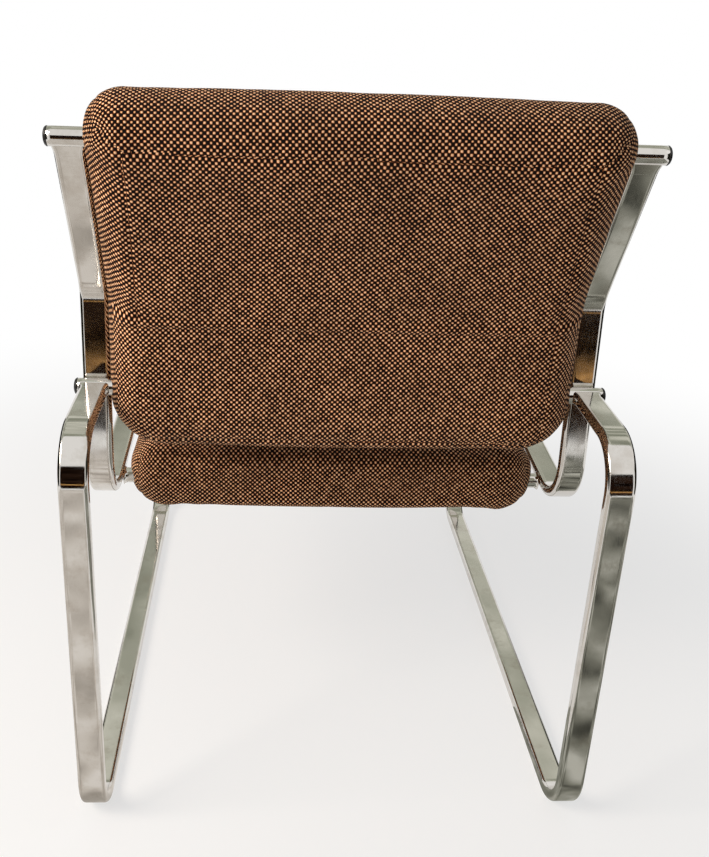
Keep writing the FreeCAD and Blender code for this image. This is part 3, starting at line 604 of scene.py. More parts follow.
@dataclass(frozen=True)
class PlanePath:
    """A path in the YZ plane: straight runs joined by tangent arcs of one radius."""

    corners: tuple[tuple[float, float], ...]
    radius: float
    arc_step: float = math.radians(3)
    run_step: float = 0.04

    def sample(self) -> tuple[np.ndarray, np.ndarray]:
        """Points and directions along the path.

        A run is start + direction * distance. An arc turns the direction by its
        angle about a centre that lies square to the run.

        Returns:
            Places and unit directions, each points by 2.
        """
        corners = np.array(self.corners)
        along = np.diff(corners, axis=0)
        along /= np.linalg.norm(along, axis=1)[:, None]
        cross = along[:-1, 0] * along[1:, 1] - along[:-1, 1] * along[1:, 0]
        turns = np.arctan2(cross, np.sum(along[:-1] * along[1:], axis=1))
        reach = self.radius * np.tan(np.abs(turns) / 2)
        starts = corners[:-1] + along * np.concatenate([[0], reach])[:, None]
        ends = corners[1:] - along * np.concatenate([reach, [0]])[:, None]
        places, ways = [], []
        for run in range(len(along)):
            length = np.linalg.norm(ends[run] - starts[run])
            share = np.linspace(0, 1, max(2, int(length / self.run_step) + 1))[:, None]
            places.append(starts[run] + (ends[run] - starts[run]) * share)
            ways.append(np.repeat(along[run][None], len(share), axis=0))
            if run == len(turns):
                break
            count = max(3, int(abs(turns[run]) / self.arc_step))
            angle = np.linspace(0, turns[run], count + 1)[1:-1, None]
            side = np.array([-along[run][1], along[run][0]]) * np.sign(turns[run])
            centre = ends[run] + side * self.radius
            places.append(
                centre + self.radius * (along[run] * np.sin(np.abs(angle)) - side * np.cos(angle)))
            ways.append(along[run] * np.cos(angle) + side * np.sin(np.abs(angle)))
        return np.concatenate(places), np.concatenate(ways)


def carried(
    places: np.ndarray, ways: np.ndarray, sections: np.ndarray, middle_x: float,
) -> np.ndarray:
    """Carry outlines along a path in the YZ plane, square to it.

    Args:
        places: the path's points, as Y and Z.
        ways: its unit directions.
        sections: outlines as rows by points by 2: across X, and along the normal.
        middle_x: where the path's plane lies.

    Returns:
        A grid of rows by points by 3.
    """
    normals = np.stack([ways[:, 1], -ways[:, 0]], axis=1)
    rows = np.broadcast_to(sections, (len(places), *sections.shape[1:]))
    offsets = rows[..., 1:2] * normals[:, None, :]
    spots = places[:, None, :] + offsets
    return np.concatenate([middle_x + rows[..., 0:1], spots], axis=-1)


def turned(
    profile: Sequence[tuple[float, float]], centre: tuple[float, float], count: int = 72,
) -> np.ndarray:
    """Turn a profile about a line along X.

    At each angle a point lies its radius times the cosine forwards of the line
    and its radius times the sine above it.

    Args:
        profile: pairs of X and radius.
        centre: Y and Z of the line.
        count: points round the circle.

    Returns:
        A grid of profile points by circle points by 3.
    """
    along, radius = np.array(profile).T
    angle = np.linspace(0, 2 * math.pi, count, endpoint=False)
    grid = np.empty((len(along), count, 3))
    grid[..., 0] = along[:, None]
    grid[..., 1] = centre[0] + radius[:, None] * np.cos(angle)
    grid[..., 2] = centre[1] + radius[:, None] * np.sin(angle)
    return grid


def middle(node: str) -> np.ndarray:
    """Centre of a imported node's box."""
    low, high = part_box(node)
    return (np.array(low) + np.array(high)) / 2


def extent(node: str) -> np.ndarray:
    """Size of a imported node's box."""
    low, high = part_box(node)
    return np.array(high) - np.array(low)


def fit(
    piece: bpy.types.Object, material: bpy.types.Material, slot: str, *nodes: str,
) -> None:
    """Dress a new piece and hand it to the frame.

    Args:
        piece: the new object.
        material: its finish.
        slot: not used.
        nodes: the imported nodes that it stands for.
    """
    piece.data.materials.clear()
    piece.data.materials.append(material)
    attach(piece, BODY)
    if nodes:
        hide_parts(*nodes)
    LOG.info("%s: %d faces", piece.name, len(piece.data.polygons))


# Steel

@dataclass
class SideProfile:
    """Line of one side tube in its own plane, in metres.

    Distances called forward run from the rear leg line towards the front.
    """

    tube_depth: float = 15 * MM
    tube_edge: float = 5 * MM
    bend_radius: float = 55 * MM
    corner_forward: float = 156 * MM
    corner_height: float = 350.5 * MM
    kink_forward: float = 178 * MM
    kink_height: float = 620 * MM
    rail_rise: float = math.radians(4.5)
    leg_rise: float = math.radians(2)
    rear_line: float = field(init=False)
    front_line: float = field(init=False)
    top_rod: tuple[float, float] = field(init=False)
    lumbar_rod: tuple[float, float] = field(init=False)

    def __post_init__(self) -> None:
        """Read the leg lines and the rod axes from the frame."""
        low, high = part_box("left_side_tube")
        self.rear_line = high.y - self.tube_depth / 2
        self.front_line = low.y + self.tube_depth / 2
        self.top_rod = tuple(middle("top_rod")[1:])
        self.lumbar_rod = tuple(middle("lumbar_rod")[1:])

    @property
    def kink(self) -> tuple[float, float]:
        """Corner between the upright's leaning top and its lower run."""
        return self.rear_line - self.kink_forward, self.kink_height

    @property
    def corner(self) -> tuple[float, float]:
        """Corner between the upright and the seat rail."""
        return self.rear_line - self.corner_forward, self.corner_height

    @property
    def front_top(self) -> tuple[float, float]:
        """Corner between the seat rail and the front leg."""
        run = self.corner[0] - self.front_line
        return self.front_line, self.corner_height + run * math.tan(self.rail_rise)

    def path(self) -> PlanePath:
        """Join the tube's corners from the top rod round to the lumbar rod.

        Returns:
            The path of the whole tube.
        """
        floor_line = self.tube_depth / 2
        run = self.rear_line - self.lumbar_rod[0]
        leg_top = self.lumbar_rod[1] - run * math.tan(self.leg_rise)
        corners = (
            self.top_rod, self.kink, self.corner, self.front_top,
            (self.front_line, floor_line), (self.rear_line, floor_line),
            (self.rear_line, leg_top), self.lumbar_rod)
        return PlanePath(corners, self.bend_radius)


@dataclass
class SideFrame:
    """One side of the chair: a single bent tube."""

    side: Side
    profile: SideProfile
    chrome: bpy.types.Material

    def build(self) -> None:
        """Carry the tube's outline along its path."""
        node = f"{self.side.word}_side_tube"
        places, ways = self.profile.path().sample()
        outline = rounded_rectangle(
            extent(node)[0] / 2, self.profile.tube_depth / 2, self.profile.tube_edge)
        grid = carried(places, ways, outline, middle(node)[0])
        fit(shell(f"{self.side.word}_tube", [grid]), self.chrome, "chrome", node)


@dataclass
class Welds:
    """Flared weld beads between the side tubes and the rods."""

    profile: SideProfile
    chrome: bpy.types.Material
    reach: float = 19 * MM
    throat: float = 3.2 * MM
    deep_throat: float = 0.08 * MM
    proud: float = 0.05 * MM
    sunk: float = 0.3 * MM
    sink_power: int = 60
    near_share: float = 0.25
    ring_throat: float = 2.4 * MM
    ring_reach: float = 4.48 * MM

    def _flare(self, centre: Sequence[float], way: np.ndarray, middle_x: float) -> np.ndarray:
        """A collar round a tube's end.

        Its growth falls with the square of the distance from the rod, and its far
        end sinks under the tube's surface by a high power of it, so that no step
        shows.

        Args:
            centre: the rod's axis, as Y and Z.
            way: the direction along the tube, away from the rod.
            middle_x: where the tube's plane lies.

        Returns:
            A grid of rows by points by 3.
        """
        share = 1 - (1 - np.linspace(0, 1, 24)) ** 2
        along = self.reach * (self.near_share + (1 - self.near_share) * share)
        places = np.array(centre) + way * along[:, None]
        growth = (1 - share) ** 2
        lift = self.proud - self.sunk * share ** self.sink_power
        half_width = extent("left_side_tube")[0] / 2
        outline = rounded_rectangle(
            half_width + self.throat * growth + lift,
            self.profile.tube_depth / 2 + self.deep_throat * growth + lift,
            self.profile.tube_edge + self.deep_throat * growth)
        return carried(places, np.repeat(way[None], len(share), axis=0), outline, middle_x)

    def build(self) -> None:
        """Make the three groups of beads."""
        path, ways = self.profile.path().sample()
        sides = [middle(f"{side.word}_side_tube")[0] for side in Side]
        top = [self._flare(path[0], ways[0], x) for x in sides]
        fit(shell("top_rod_beads", top), self.chrome, "chrome", "top_rod_welds")
        leg = [self._flare(path[-1], -ways[-1], x) for x in sides]
        fit(shell("leg_top_beads", leg), self.chrome, "chrome", "leg_top_welds")
        rings = []
        for node in ("seat_rear_rod", "seat_front_rod"):
            centre = tuple(middle(node)[1:])
            radius = extent(node)[2] / 2
            end = extent(node)[0] / 2
            share = np.linspace(0, 1, 8)
            for side in Side:
                along = side.value * (end - self.ring_reach * share)
                growth = radius + self.ring_throat * (1 - share) ** 2
                rings.append(turned(list(zip(along, growth)), centre))
        fit(shell("seat_rod_beads", rings), self.chrome, "chrome", "seat_rod_welds")


@dataclass
class CrossRod:
    """A round rod across the chair, with or without end caps."""

    node: str
    chrome: bpy.types.Material
    plastic: bpy.types.Material
    capped: bool = False
    chamfer: float = 0.5 * MM
    rim: float = 1.2 * MM
    rim_round: float = 0.5 * MM
    rim_chamfer: float = 0.2 * MM
    pole: float = 0.05 * MM
    end_share: float = 0.98

    def build(self) -> None:
        """Turn the rod and, where it has them, its two caps."""
        centre = tuple(middle(self.node)[1:])
        radius = extent(self.node)[2] / 2
        half = extent(self.node)[0] / 2
        inner = half - self.chamfer
        profile = [
            (-half, radius - self.chamfer), (-inner, radius), (-inner * self.end_share, radius),
            (0.0, radius), (inner * self.end_share, radius), (inner, radius),
            (half, radius - self.chamfer)]
        fit(shell(f"{self.node}_bar", [turned(profile, centre)]), self.chrome, "chrome", self.node)
        if self.capped:
            for side in Side:
                self._cap(side, centre, radius, half)

    def _cap(self, side: Side, centre: tuple[float, float], radius: float, half: float) -> None:
        """Turn one cap: a straight rim, a small round, then a flat dome.

        The dome is a quarter of an ellipse: its radius falls with the cosine and
        its height grows with the sine.

        Args:
            side: the rod's end that it closes.
            centre: the rod's axis, as Y and Z.
            radius: the rod's radius.
            half: half the rod's length.
        """
        node = f"{self.node}_{side.word}_cap"
        low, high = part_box(node)
        top = max(abs(low.x), abs(high.x)) - half
        dome = top - self.rim
        shares = np.linspace(0, 1, 14)
        inner = radius - self.rim_round
        dome_radius = inner * np.cos(shares * math.pi / 2)
        dome_height = self.rim + self.rim_round * 0.6 + (dome - self.rim_round * 0.6) * np.sin(
            shares * math.pi / 2)
        profile = [
            (0.0, radius * 0.3), (0.0, radius - self.rim_chamfer), (self.rim_chamfer, radius),
            (self.rim, radius),
            (self.rim + self.rim_round * 0.35, radius - self.rim_round * 0.4)]
        profile += list(zip(dome_height, np.maximum(dome_radius, self.pole)))
        spots = [(side.value * (half + along), r) for along, r in profile]
        moulding = shell(f"{node}_moulding", [turned(spots, centre, 48)])
        fit(moulding, self.plastic, "cap_plastic", node)


# Cushions

@dataclass(frozen=True)
class Spine:
    """Middle line of a cushion in the YZ plane, straight or bent once."""

    start: tuple[float, float]
    end: tuple[float, float]
    corner: tuple[float, float] | None = None
    radius: float = 0.0

    def _parts(self) -> tuple[np.ndarray, np.ndarray, np.ndarray, float, float]:
        """Work out the line's runs and its bend.

        The arc starts radius * tan(turn / 2) before the corner, square to the run.

        Returns:
            The first direction, the second one, the way sideways into the bend,
            the turn's angle and the length of the first run.
        """
        start, end = np.array(self.start), np.array(self.end)
        corner = (start + end) / 2 if self.corner is None else np.array(self.corner)
        before = (corner - start) / np.linalg.norm(corner - start)
        after = (end - corner) / np.linalg.norm(end - corner)
        turn = math.acos(min(1.0, float(before @ after)))
        if turn < TINY_ANGLE:
            square = np.array([before[1], -before[0]])
            return before, after, square, 0.0, float(np.linalg.norm(corner - start))
        side = after - before * math.cos(turn)
        first = np.linalg.norm(corner - start) - self.radius * math.tan(turn / 2)
        return before, after, side / np.linalg.norm(side), turn, float(first)

    @property
    def length(self) -> float:
        """Length along the line: its two straight runs and radius * turn for the arc."""
        if self.corner is None:
            return math.dist(self.start, self.end)
        turn, first = self._parts()[3:]
        last = math.dist(self.corner, self.end) - self.radius * math.tan(turn / 2)
        return first + self.radius * turn + last

    @property
    def half_arc(self) -> float:
        """Half the length of the bend's arc."""
        return self.radius * self._parts()[3] / 2

    @property
    def bend_middle(self) -> float:
        """Distance along the line to the middle of its bend."""
        return self._parts()[4] + self.half_arc

    def lay(self, points: np.ndarray) -> np.ndarray:
        """Lay a straight cushion's points along the line.

        A point's second value is its distance along the line and its third its
        height on the face side. Distance past the first run turns the direction
        by distance / radius until the bend ends, then runs straight again.

        Args:
            points: across, along and up, as rows by 3.

        Returns:
            The same points as X, Y and Z.
        """
        before, after, side, turn, first = self._parts()
        along = points[:, 1]
        if turn == 0:
            run = along[:, None]
            last = angle = np.zeros((len(points), 1))
        else:
            run = np.minimum(along, first)[:, None]
            angle = np.clip((along - first) / self.radius, 0, turn)[:, None]
            last = np.maximum(along - first - self.radius * turn, 0)[:, None]
        place = (
            np.array(self.start) + before * run
            + self.radius * (before * np.sin(angle) + side * (1 - np.cos(angle))) + after * last)
        way = before * np.cos(angle) + side * np.sin(angle)
        normal = np.stack([way[:, 1], -way[:, 0]], axis=1)
        return np.concatenate([points[:, :1], place + normal * points[:, 2:]], axis=1)


@dataclass
class Cushion:
    """A foam cushion in a sewn cover, made straight and laid along its spine.

    While it is straight, its points are across, along (about the middle) and up,
    up being the face that a sitter touches. The first end is the one where its
    spine starts. The cloth of each panel is cut a little off the thread of its
    neighbours, by the lean and the shift given for it.
    """

    name: str
    nodes: tuple[str, ...]
    spine: Spine
    cloth: bpy.types.Material
    half_width: float
    half_depth: float = 44 * MM
    crown: float = 7 * MM
    far_crown: float = 4.2 * MM
    end_crown: float = 5 * MM
    round_edge: float = 36 * MM
    first_edge: float = 36 * MM
    last_edge: float = 16 * MM
    first_corner: float = 30 * MM
    last_corner: float = 40 * MM
    fill_behind: float = 0.0
    fill_reach: float = 270 * MM
    voxel: float = 6 * MM
    pressure: float = 4.0
    frames: int = 20
    swell: float = 7 * MM
    waist: float = 4 * MM
    seam_depth: float = 1.3 * MM
    seam_width: float = 3.0 * MM
    face_sign: int = 1
    fill: float = 0.85
    cloth_quality: int = 5
    cloth_mass: float = 0.3
    block_rows: int = 12
    slack_samples: int = 1200
    evening: int = 3
    panel_lean: tuple[float, ...] = (0.0, 0.9, -0.7, 0.4)
    panel_shift_mm: tuple[tuple[float, float], ...] = (
        (0.0, 0.0), (1.3, 2.1), (3.9, 0.8), (0.6, 1.7))

    @property
    def half_length(self) -> float:
        """Half the cushion's length along its spine."""
        return self.spine.length / 2

    def _block(self) -> bpy.types.Object:
        """The straight block with round edges, closed at both ends.

        At a distance d from an end the outline draws in by
        radius - sqrt(radius^2 - (radius - d)^2), with the corner's radius across
        and the edge's radius up: a quarter circle both ways.

        Returns:
            The linked block.
        """
        whole = 2 * self.half_length
        shares = 1 - np.cos(np.linspace(0, math.pi / 2, self.block_rows))
        first = max(self.first_corner, self.first_edge) * shares
        last = max(self.last_corner, self.last_edge) * shares
        along = np.concatenate([first, [self.half_length], whole - last[::-1]])
        near_first = along < self.half_length
        from_end = np.where(near_first, along, whole - along)

        def drawn_in(first_radius: float, last_radius: float) -> np.ndarray:
            """How far round ends of these radii draw the outline in."""
            radius = np.where(near_first, first_radius, last_radius)
            left = np.clip(radius - from_end, 0, radius)
            return radius - np.sqrt(radius ** 2 - left ** 2)

        narrow = drawn_in(self.first_corner, self.last_corner)
        thin = drawn_in(self.first_edge, self.last_edge)
        outline = rounded_rectangle(
            self.half_width - narrow, self.half_depth - thin,
            np.minimum(self.round_edge, 0.9 * (self.half_depth - thin)))
        grid = np.empty((len(along), outline.shape[1], 3))
        grid[..., 0] = outline[..., 0]
        grid[..., 1] = (along - self.half_length)[:, None]
        grid[..., 2] = outline[..., 1]
        return shell(self.name + "_block", [grid])

    def _evaluated(self, piece: bpy.types.Object) -> bpy.types.Mesh:
        """A copy of the piece's mesh with its modifiers applied."""
        graph = bpy.context.evaluated_depsgraph_get()
        return bpy.data.meshes.new_from_object(piece.evaluated_get(graph))

    def _remeshed(self, piece: bpy.types.Object) -> bpy.types.Object:
        """Turn the block into an even net of small squares.

        Args:
            piece: the block, which is removed.

        Returns:
            The linked net.
        """
        remesh = piece.modifiers.new("net", "REMESH")
        remesh.mode = "VOXEL"
        remesh.voxel_size = self.voxel
        mesh = self._evaluated(piece)
        net = bpy.data.objects.new(self.name, mesh)
        bpy.context.scene.collection.objects.link(net)
        bpy.data.objects.remove(piece)
        return net

    def _inflated(self, net: bpy.types.Object) -> np.ndarray:
        """Press the net out with its filling.

        A point's move is held to swell * tanh(move / swell).

        Args:
            net: the cushion's net of cloth.

        Returns:
            The net's points after the filling.
        """
        before = get_points(net.data)
        cloth = net.modifiers.new("filling", "CLOTH")
        cloth.settings.quality = self.cloth_quality
        cloth.settings.mass = self.cloth_mass
        cloth.settings.use_pressure = True
        cloth.settings.uniform_pressure_force = self.pressure
        cloth.settings.effector_weights.gravity = 0
        cloth.point_cache.frame_start = 1
        cloth.point_cache.frame_end = self.frames
        scene = bpy.context.scene
        for number in range(1, self.frames + 1):
            scene.frame_set(number)
        mesh = self._evaluated(net)
        move = get_points(mesh) - before
        net.modifiers.remove(cloth)
        bpy.data.meshes.remove(mesh)
        scene.frame_set(1)
        length = np.linalg.norm(move, axis=1, keepdims=True)
        LOG.info("%s: cloth moved up to %.1f mm", self.name, length.max() / MM)
        held = self.swell * np.tanh(length / self.swell)
        return before + move * held / np.maximum(length, TINY)

    def _sized(self, points: np.ndarray) -> np.ndarray:
        """Stretch the filled form to its cut size along each axis.

        Pressure draws the ends and sides in, so each direction is scaled by the
        wanted reach over the reach found. The ends then swell by a parabola
        across the width, which fades towards the middle with the fourth power.

        Args:
            points: the filled form, as rows by 3.

        Returns:
            The same points at their size.
        """
        low, high = points.min(axis=0), points.max(axis=0)
        reach = np.array([self.half_width, self.half_length])
        sized = points.copy()
        sized[:, :2] *= 2 * reach / (high - low)[:2]
        front = (self.half_depth + self.crown) / high[2]
        rear = (self.half_depth + self.far_crown) / -low[2]
        sized[:, 2] *= np.where(sized[:, 2] > 0, front, rear)
        across = 1 - np.clip(np.abs(sized[:, 0]) / self.half_width, 0, 1) ** 2
        near_end = np.clip(np.abs(sized[:, 1]) / self.half_length, 0, 1) ** 4
        sized[:, 1] += np.sign(sized[:, 1]) * self.end_crown * across * near_end
        return sized

    def _filled(self, points: np.ndarray) -> np.ndarray:
        """Set the rear half back behind the bend.

        The extra depth falls with the square of the distance from the bend's
        middle and grows evenly from the middle line to the rear face. Within
        half an arc the distance is a parabola, so that the rear has no crease.

        Args:
            points: the straight form, as rows by 3.

        Returns:
            The same points with the depth behind the bend.
        """
        if self.fill_behind == 0:
            return points
        half_arc = self.spine.half_arc
        away = np.abs(points[:, 1] + self.half_length - self.spine.bend_middle)
        away = np.where(away < half_arc, (away ** 2 + half_arc ** 2) / (2 * half_arc), away)
        extra = self.fill_behind * np.clip(1 - away / self.fill_reach, 0, None) ** 2
        deep = points.copy()
        deep[:, 2] -= extra * np.clip(-points[:, 2] / self.half_depth, 0, 1)
        return deep

    def _laid(self, points: np.ndarray) -> np.ndarray:
        """The straight form's points, filled and laid along the spine."""
        return self.spine.lay(self._filled(points) + np.array([0.0, self.half_length, 0.0]))

    def _slack(self, sign: int) -> tuple[np.ndarray, np.ndarray]:
        """How much further the cloth of one face runs than the straight form.

        The face's middle line, with its crown, is laid along the spine, and the
        lengths of its small steps are summed.

        Args:
            sign: 1 for the upper face, -1 for the lower one.

        Returns:
            Distances along the straight form, and the cloth's extra run at each.
        """
        along = np.linspace(-self.half_length, self.half_length, self.slack_samples)
        depth = self.half_depth + (self.crown if sign > 0 else self.far_crown)
        line = np.stack([np.zeros_like(along), along, np.full_like(along, sign * depth)], axis=1)
        steps = np.linalg.norm(np.diff(self._laid(line), axis=0), axis=1)
        run = np.concatenate([[0.0], np.cumsum(steps)])
        return along, run - run[len(run) // 2] - along

    def _core(self) -> np.ndarray:
        """Half sizes of the inner box that the round edges turn about."""
        return np.array([self.half_width, self.half_length, self.half_depth]) - self.round_edge

    def _offsets(self, points: np.ndarray) -> tuple[np.ndarray, np.ndarray]:
        """Find the flat part of the surface that each point belongs to.

        Args:
            points: the straight form, as rows by 3.

        Returns:
            The nearest points of the inner box, and the ways out from them.
        """
        core = self._core()
        inner = np.clip(points, -core, core)
        return inner, points - inner

    def panels(self, points: np.ndarray) -> np.ndarray:
        """The panel of cloth that each point of the straight form belongs to."""
        raise NotImplementedError

    def seam_distance(self, points: np.ndarray) -> np.ndarray:
        """How far each point of the straight form lies from the nearest seam."""
        raise NotImplementedError

    def _cloth_places(self, points: np.ndarray) -> np.ndarray:
        """Where each point lies on the flat cloth, for each way that it can face.

        On a flat the place is the point's own. Over a round edge it goes on by
        radius * angle, so the weave keeps its size as it rolls over. Along the
        cushion the cloth's slack is added, so that it fits where the spine bends.

        Args:
            points: the straight form, as rows by 3.

        Returns:
            Points by 3 facing axes by 2 cloth values, in metres.
        """
        inner, out = self._offsets(points)
        size = np.abs(out)
        sign = np.where(points >= 0, 1.0, -1.0)
        core = self._core()
        radius = self.round_edge
        roll = size[:, :2] > TINY_ANGLE
        places = np.empty((len(points), 3, 2))
        lean = np.arctan2(size[:, :2], np.maximum(size[:, 2:], TINY)) * roll
        places[:, 2] = inner[:, :2] + sign[:, :2] * radius * lean
        for half in (1, -1):
            own = points[:, 2] * half >= 0
            places[own, 2, 1] += np.interp(places[own, 2, 1], *self._slack(half))
        face = self.face_sign
        edge_line = inner.copy()
        edge_line[:, 2] = face * core[2]
        past = face * (self._filled(edge_line)[:, 2] - self._filled(inner)[:, 2])
        for axis, other in ((0, 1), (1, 0)):
            round_turn = np.arctan2(size[:, axis], face * out[:, 2])
            places[:, axis, axis] = sign[:, axis] * (core[axis] + radius * round_turn + past)
            corner_turn = np.arctan2(size[:, other], np.maximum(size[:, axis], TINY))
            places[:, axis, other] = (
                inner[:, other] + sign[:, other] * radius * corner_turn * roll[:, other])
        end_line = sign[:, 1] * core[1]
        places[:, 1, 1] += np.interp(end_line, *self._slack(face))
        along = places[:, 0, 1].copy()
        share = np.clip(0.5 - face * points[:, 2] / (2 * self.half_depth), 0, 1)
        near = np.interp(along, *self._slack(face))
        places[:, 0, 1] += near + (np.interp(along, *self._slack(-face)) - near) * share
        return places

    def _weave(self, mesh: bpy.types.Mesh, points: np.ndarray) -> None:
        """Store the cloth's places as a UV map, panel by panel.

        Args:
            mesh: the cushion's mesh.
            points: its points on the straight form.
        """
        corner_vertex = np.empty(len(mesh.loops), dtype=np.int32)
        mesh.loops.foreach_get("vertex_index", corner_vertex)
        sizes = np.empty(len(mesh.polygons), dtype=np.int32)
        mesh.polygons.foreach_get("loop_total", sizes)
        owner = np.repeat(np.arange(len(sizes)), sizes)
        centres = np.zeros((len(sizes), 3))
        np.add.at(centres, owner, points[corner_vertex])
        centres /= sizes[:, None]
        facing = np.argmax(np.abs(self._offsets(centres)[1]), axis=1)
        panel = self.panels(centres)
        places = self._cloth_places(points)[corner_vertex, facing[owner]]
        lean = np.radians(np.array(self.panel_lean))[panel][owner]
        shift = np.array(self.panel_shift_mm)[panel][owner] * MM
        turned_places = np.stack([
            places[:, 0] * np.cos(lean) - places[:, 1] * np.sin(lean),
            places[:, 0] * np.sin(lean) + places[:, 1] * np.cos(lean)], axis=1)
        layer = mesh.uv_layers.new(name="weave")
        layer.data.foreach_set("uv", (turned_places + shift).astype(np.float32).ravel())

    def build(self) -> None:
        """Make the cushion: block, net, filling, seams, weave, then its place.

        The seams draw the cloth in by depth * exp(-(distance / width)^2), and the
        waist narrows it by a parabola along its length.
        """
        net = self._remeshed(self._block())
        set_points(net.data, self._inflated(net))
        net.modifiers.new("even", "SMOOTH").iterations = self.evening
        net.modifiers.new("finer", "SUBSURF").levels = 1
        mesh = self._evaluated(net)
        net.modifiers.clear()
        net.data = mesh
        points = self._sized(get_points(mesh))
        normals = np.empty(len(mesh.vertices) * 3, dtype=np.float32)
        mesh.vertices.foreach_get("normal", normals)
        near = np.exp(-(self.seam_distance(points) / self.seam_width) ** 2)
        sewn = points - normals.reshape(-1, 3) * (self.seam_depth * near)[:, None]
        self._weave(mesh, sewn)
        mid = 1 - np.clip(np.abs(sewn[:, 1]) / self.half_length, 0, 1) ** 2
        sewn[:, 0] *= 1 - self.waist / self.half_width * mid
        set_points(mesh, self._laid(sewn))
        mesh.flip_normals()
        mesh.polygons.foreach_set("use_smooth", np.ones(len(mesh.polygons), dtype=bool))
        mesh.update()
        fit(net, self.cloth, "woven_fabric", *self.nodes)


def get_points(mesh: bpy.types.Mesh) -> np.ndarray:
    """A mesh's points as rows by 3."""
    values = np.empty(len(mesh.vertices) * 3, dtype=np.float32)
    mesh.vertices.foreach_get("co", values)
    return values.reshape(-1, 3).astype(float)


def set_points(mesh: bpy.types.Mesh, points: np.ndarray) -> None:
    """Move a mesh's points."""
    mesh.vertices.foreach_set("co", points.astype(np.float32).ravel())
    mesh.update()


@dataclass
class BackCushion(Cushion):
    """The back: a wrap of cloth closed by a set-in rear panel."""

    side_band: float = 42 * MM
    top_band: float = 30 * MM
    bottom_band: float = 10 * MM
    rear_slope: float = 0.6
    mitre_slope: float = 0.75

    def _overs(self, points: np.ndarray) -> np.ndarray:
        """How far each point lies past the rear panel's edges.

        Args:
            points: the straight form, as rows by 3.

        Returns:
            Distances past its sides, top and bottom, in widths of their bands.
        """
        return np.stack([
            (np.abs(points[:, 0]) - (self.half_width - self.side_band)) / self.side_band,
            (-points[:, 1] - (self.half_length - self.top_band)) / self.top_band,
            (points[:, 1] - (self.half_length - self.bottom_band)) / self.bottom_band], axis=1)

    def panels(self, points: np.ndarray) -> np.ndarray:
        """Find the panel of cloth that each point belongs to.

        A point behind is on the rear panel where it is past none of its edges, and
        otherwise on the band of the edge that it is furthest past.

        Args:
            points: the straight form, as rows by 3.

        Returns:
            The panels' numbers.
        """
        out = self._offsets(points)[1]
        facing = np.argmax(np.abs(out), axis=1)
        overs = self._overs(points)
        widest = np.argmax(overs, axis=1)
        rear = np.where(overs.max(axis=1) < 0, Panel.REAR.value,
                        np.where(widest == 0, Panel.SIDE.value, Panel.END.value))
        front_or_rear = np.where(out[:, 2] > 0, Panel.FACE.value, rear)
        return np.select(
            [facing == 0, facing == 1], [Panel.SIDE.value, Panel.END.value], front_or_rear)

    def seam_distance(self, points: np.ndarray) -> np.ndarray:
        """How far each point lies from the nearest seam.

        The seams are the rear panel's outline, the mitres of the bands round it,
        the edge of the front face and the four corners. The last two follow lines
        on which two ways out are equally long, and the difference of the two times
        the cosine of 45 degrees is the distance.

        Args:
            points: the straight form, as rows by 3.

        Returns:
            One distance for each point.
        """
        out = self._offsets(points)[1]
        overs = self._overs(points)
        bands = np.array([self.side_band, self.top_band, self.bottom_band])
        behind = out[:, 2] < -self.rear_slope * np.abs(out[:, :2]).max(axis=1)
        outline = np.where(behind, np.abs((overs * bands).max(axis=1)), FAR)
        end_over = overs[:, 1:].max(axis=1)
        both = behind & (overs[:, 0] > 0) & (end_over > 0)
        past = np.abs(overs[:, 0] - end_over) * self.side_band * self.mitre_slope
        mitre = np.where(both, past, FAR)
        size = np.abs(out)
        edge = size[:, :2].max(axis=1)
        front = np.where(out[:, 2] > 0, np.abs(out[:, 2] - edge) * DIAGONAL, FAR)
        across = np.abs(size[:, 0] - size[:, 1]) * DIAGONAL
        corner = np.where(edge > size[:, 2], across, FAR)
        return np.minimum.reduce([outline, mitre, front, corner])


@dataclass
class SeatCushion(Cushion):
    """The seat: one cloth over the top, both ends and the bottom, with side boxing."""

    def panels(self, points: np.ndarray) -> np.ndarray:
        """The panel of cloth that each point of the straight form belongs to."""
        facing = np.argmax(np.abs(self._offsets(points)[1]), axis=1)
        return np.where(facing == 0, Panel.SIDE.value, Panel.FACE.value)

    def seam_distance(self, points: np.ndarray) -> np.ndarray:
        """Distance from the seams round the two side panels."""
        size = np.abs(self._offsets(points)[1])
        return np.abs(size[:, 0] - size[:, 1:].max(axis=1)) * DIAGONAL


def inner_face() -> float:
    """Distance from the chair's middle to the inner face of a side tube."""
    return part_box("left_side_tube")[0].x


def back_cushion(profile: SideProfile, cloth: bpy.types.Material) -> BackCushion:
    """The back cushion on the line of the uprights.

    Args:
        profile: the line of the side tubes.
        cloth: its finish.

    Returns:
        The cushion, not yet built.
    """
    above_rod = 46 * MM
    bottom = 444 * MM
    bend = 95 * MM
    side_room = 0.3 * MM
    top, kink, corner = (np.array(p) for p in (profile.top_rod, profile.kink, profile.corner))
    upper = (top - kink) / np.linalg.norm(top - kink)
    lower = (corner - kink) / np.linalg.norm(corner - kink)
    start = top + upper * above_rod
    end = kink + lower * (bottom - kink[1]) / lower[1]
    spine = Spine(tuple(start), tuple(end), tuple(kink), bend)
    return BackCushion(
        "back_cushion", ("back_cover", "back_front_foam", "back_rear_foam"), spine, cloth,
        half_width=inner_face() - side_room, face_sign=-1, fill_behind=33 * MM,
        end_crown=6 * MM, waist=0.0, first_corner=34 * MM, last_corner=56 * MM)


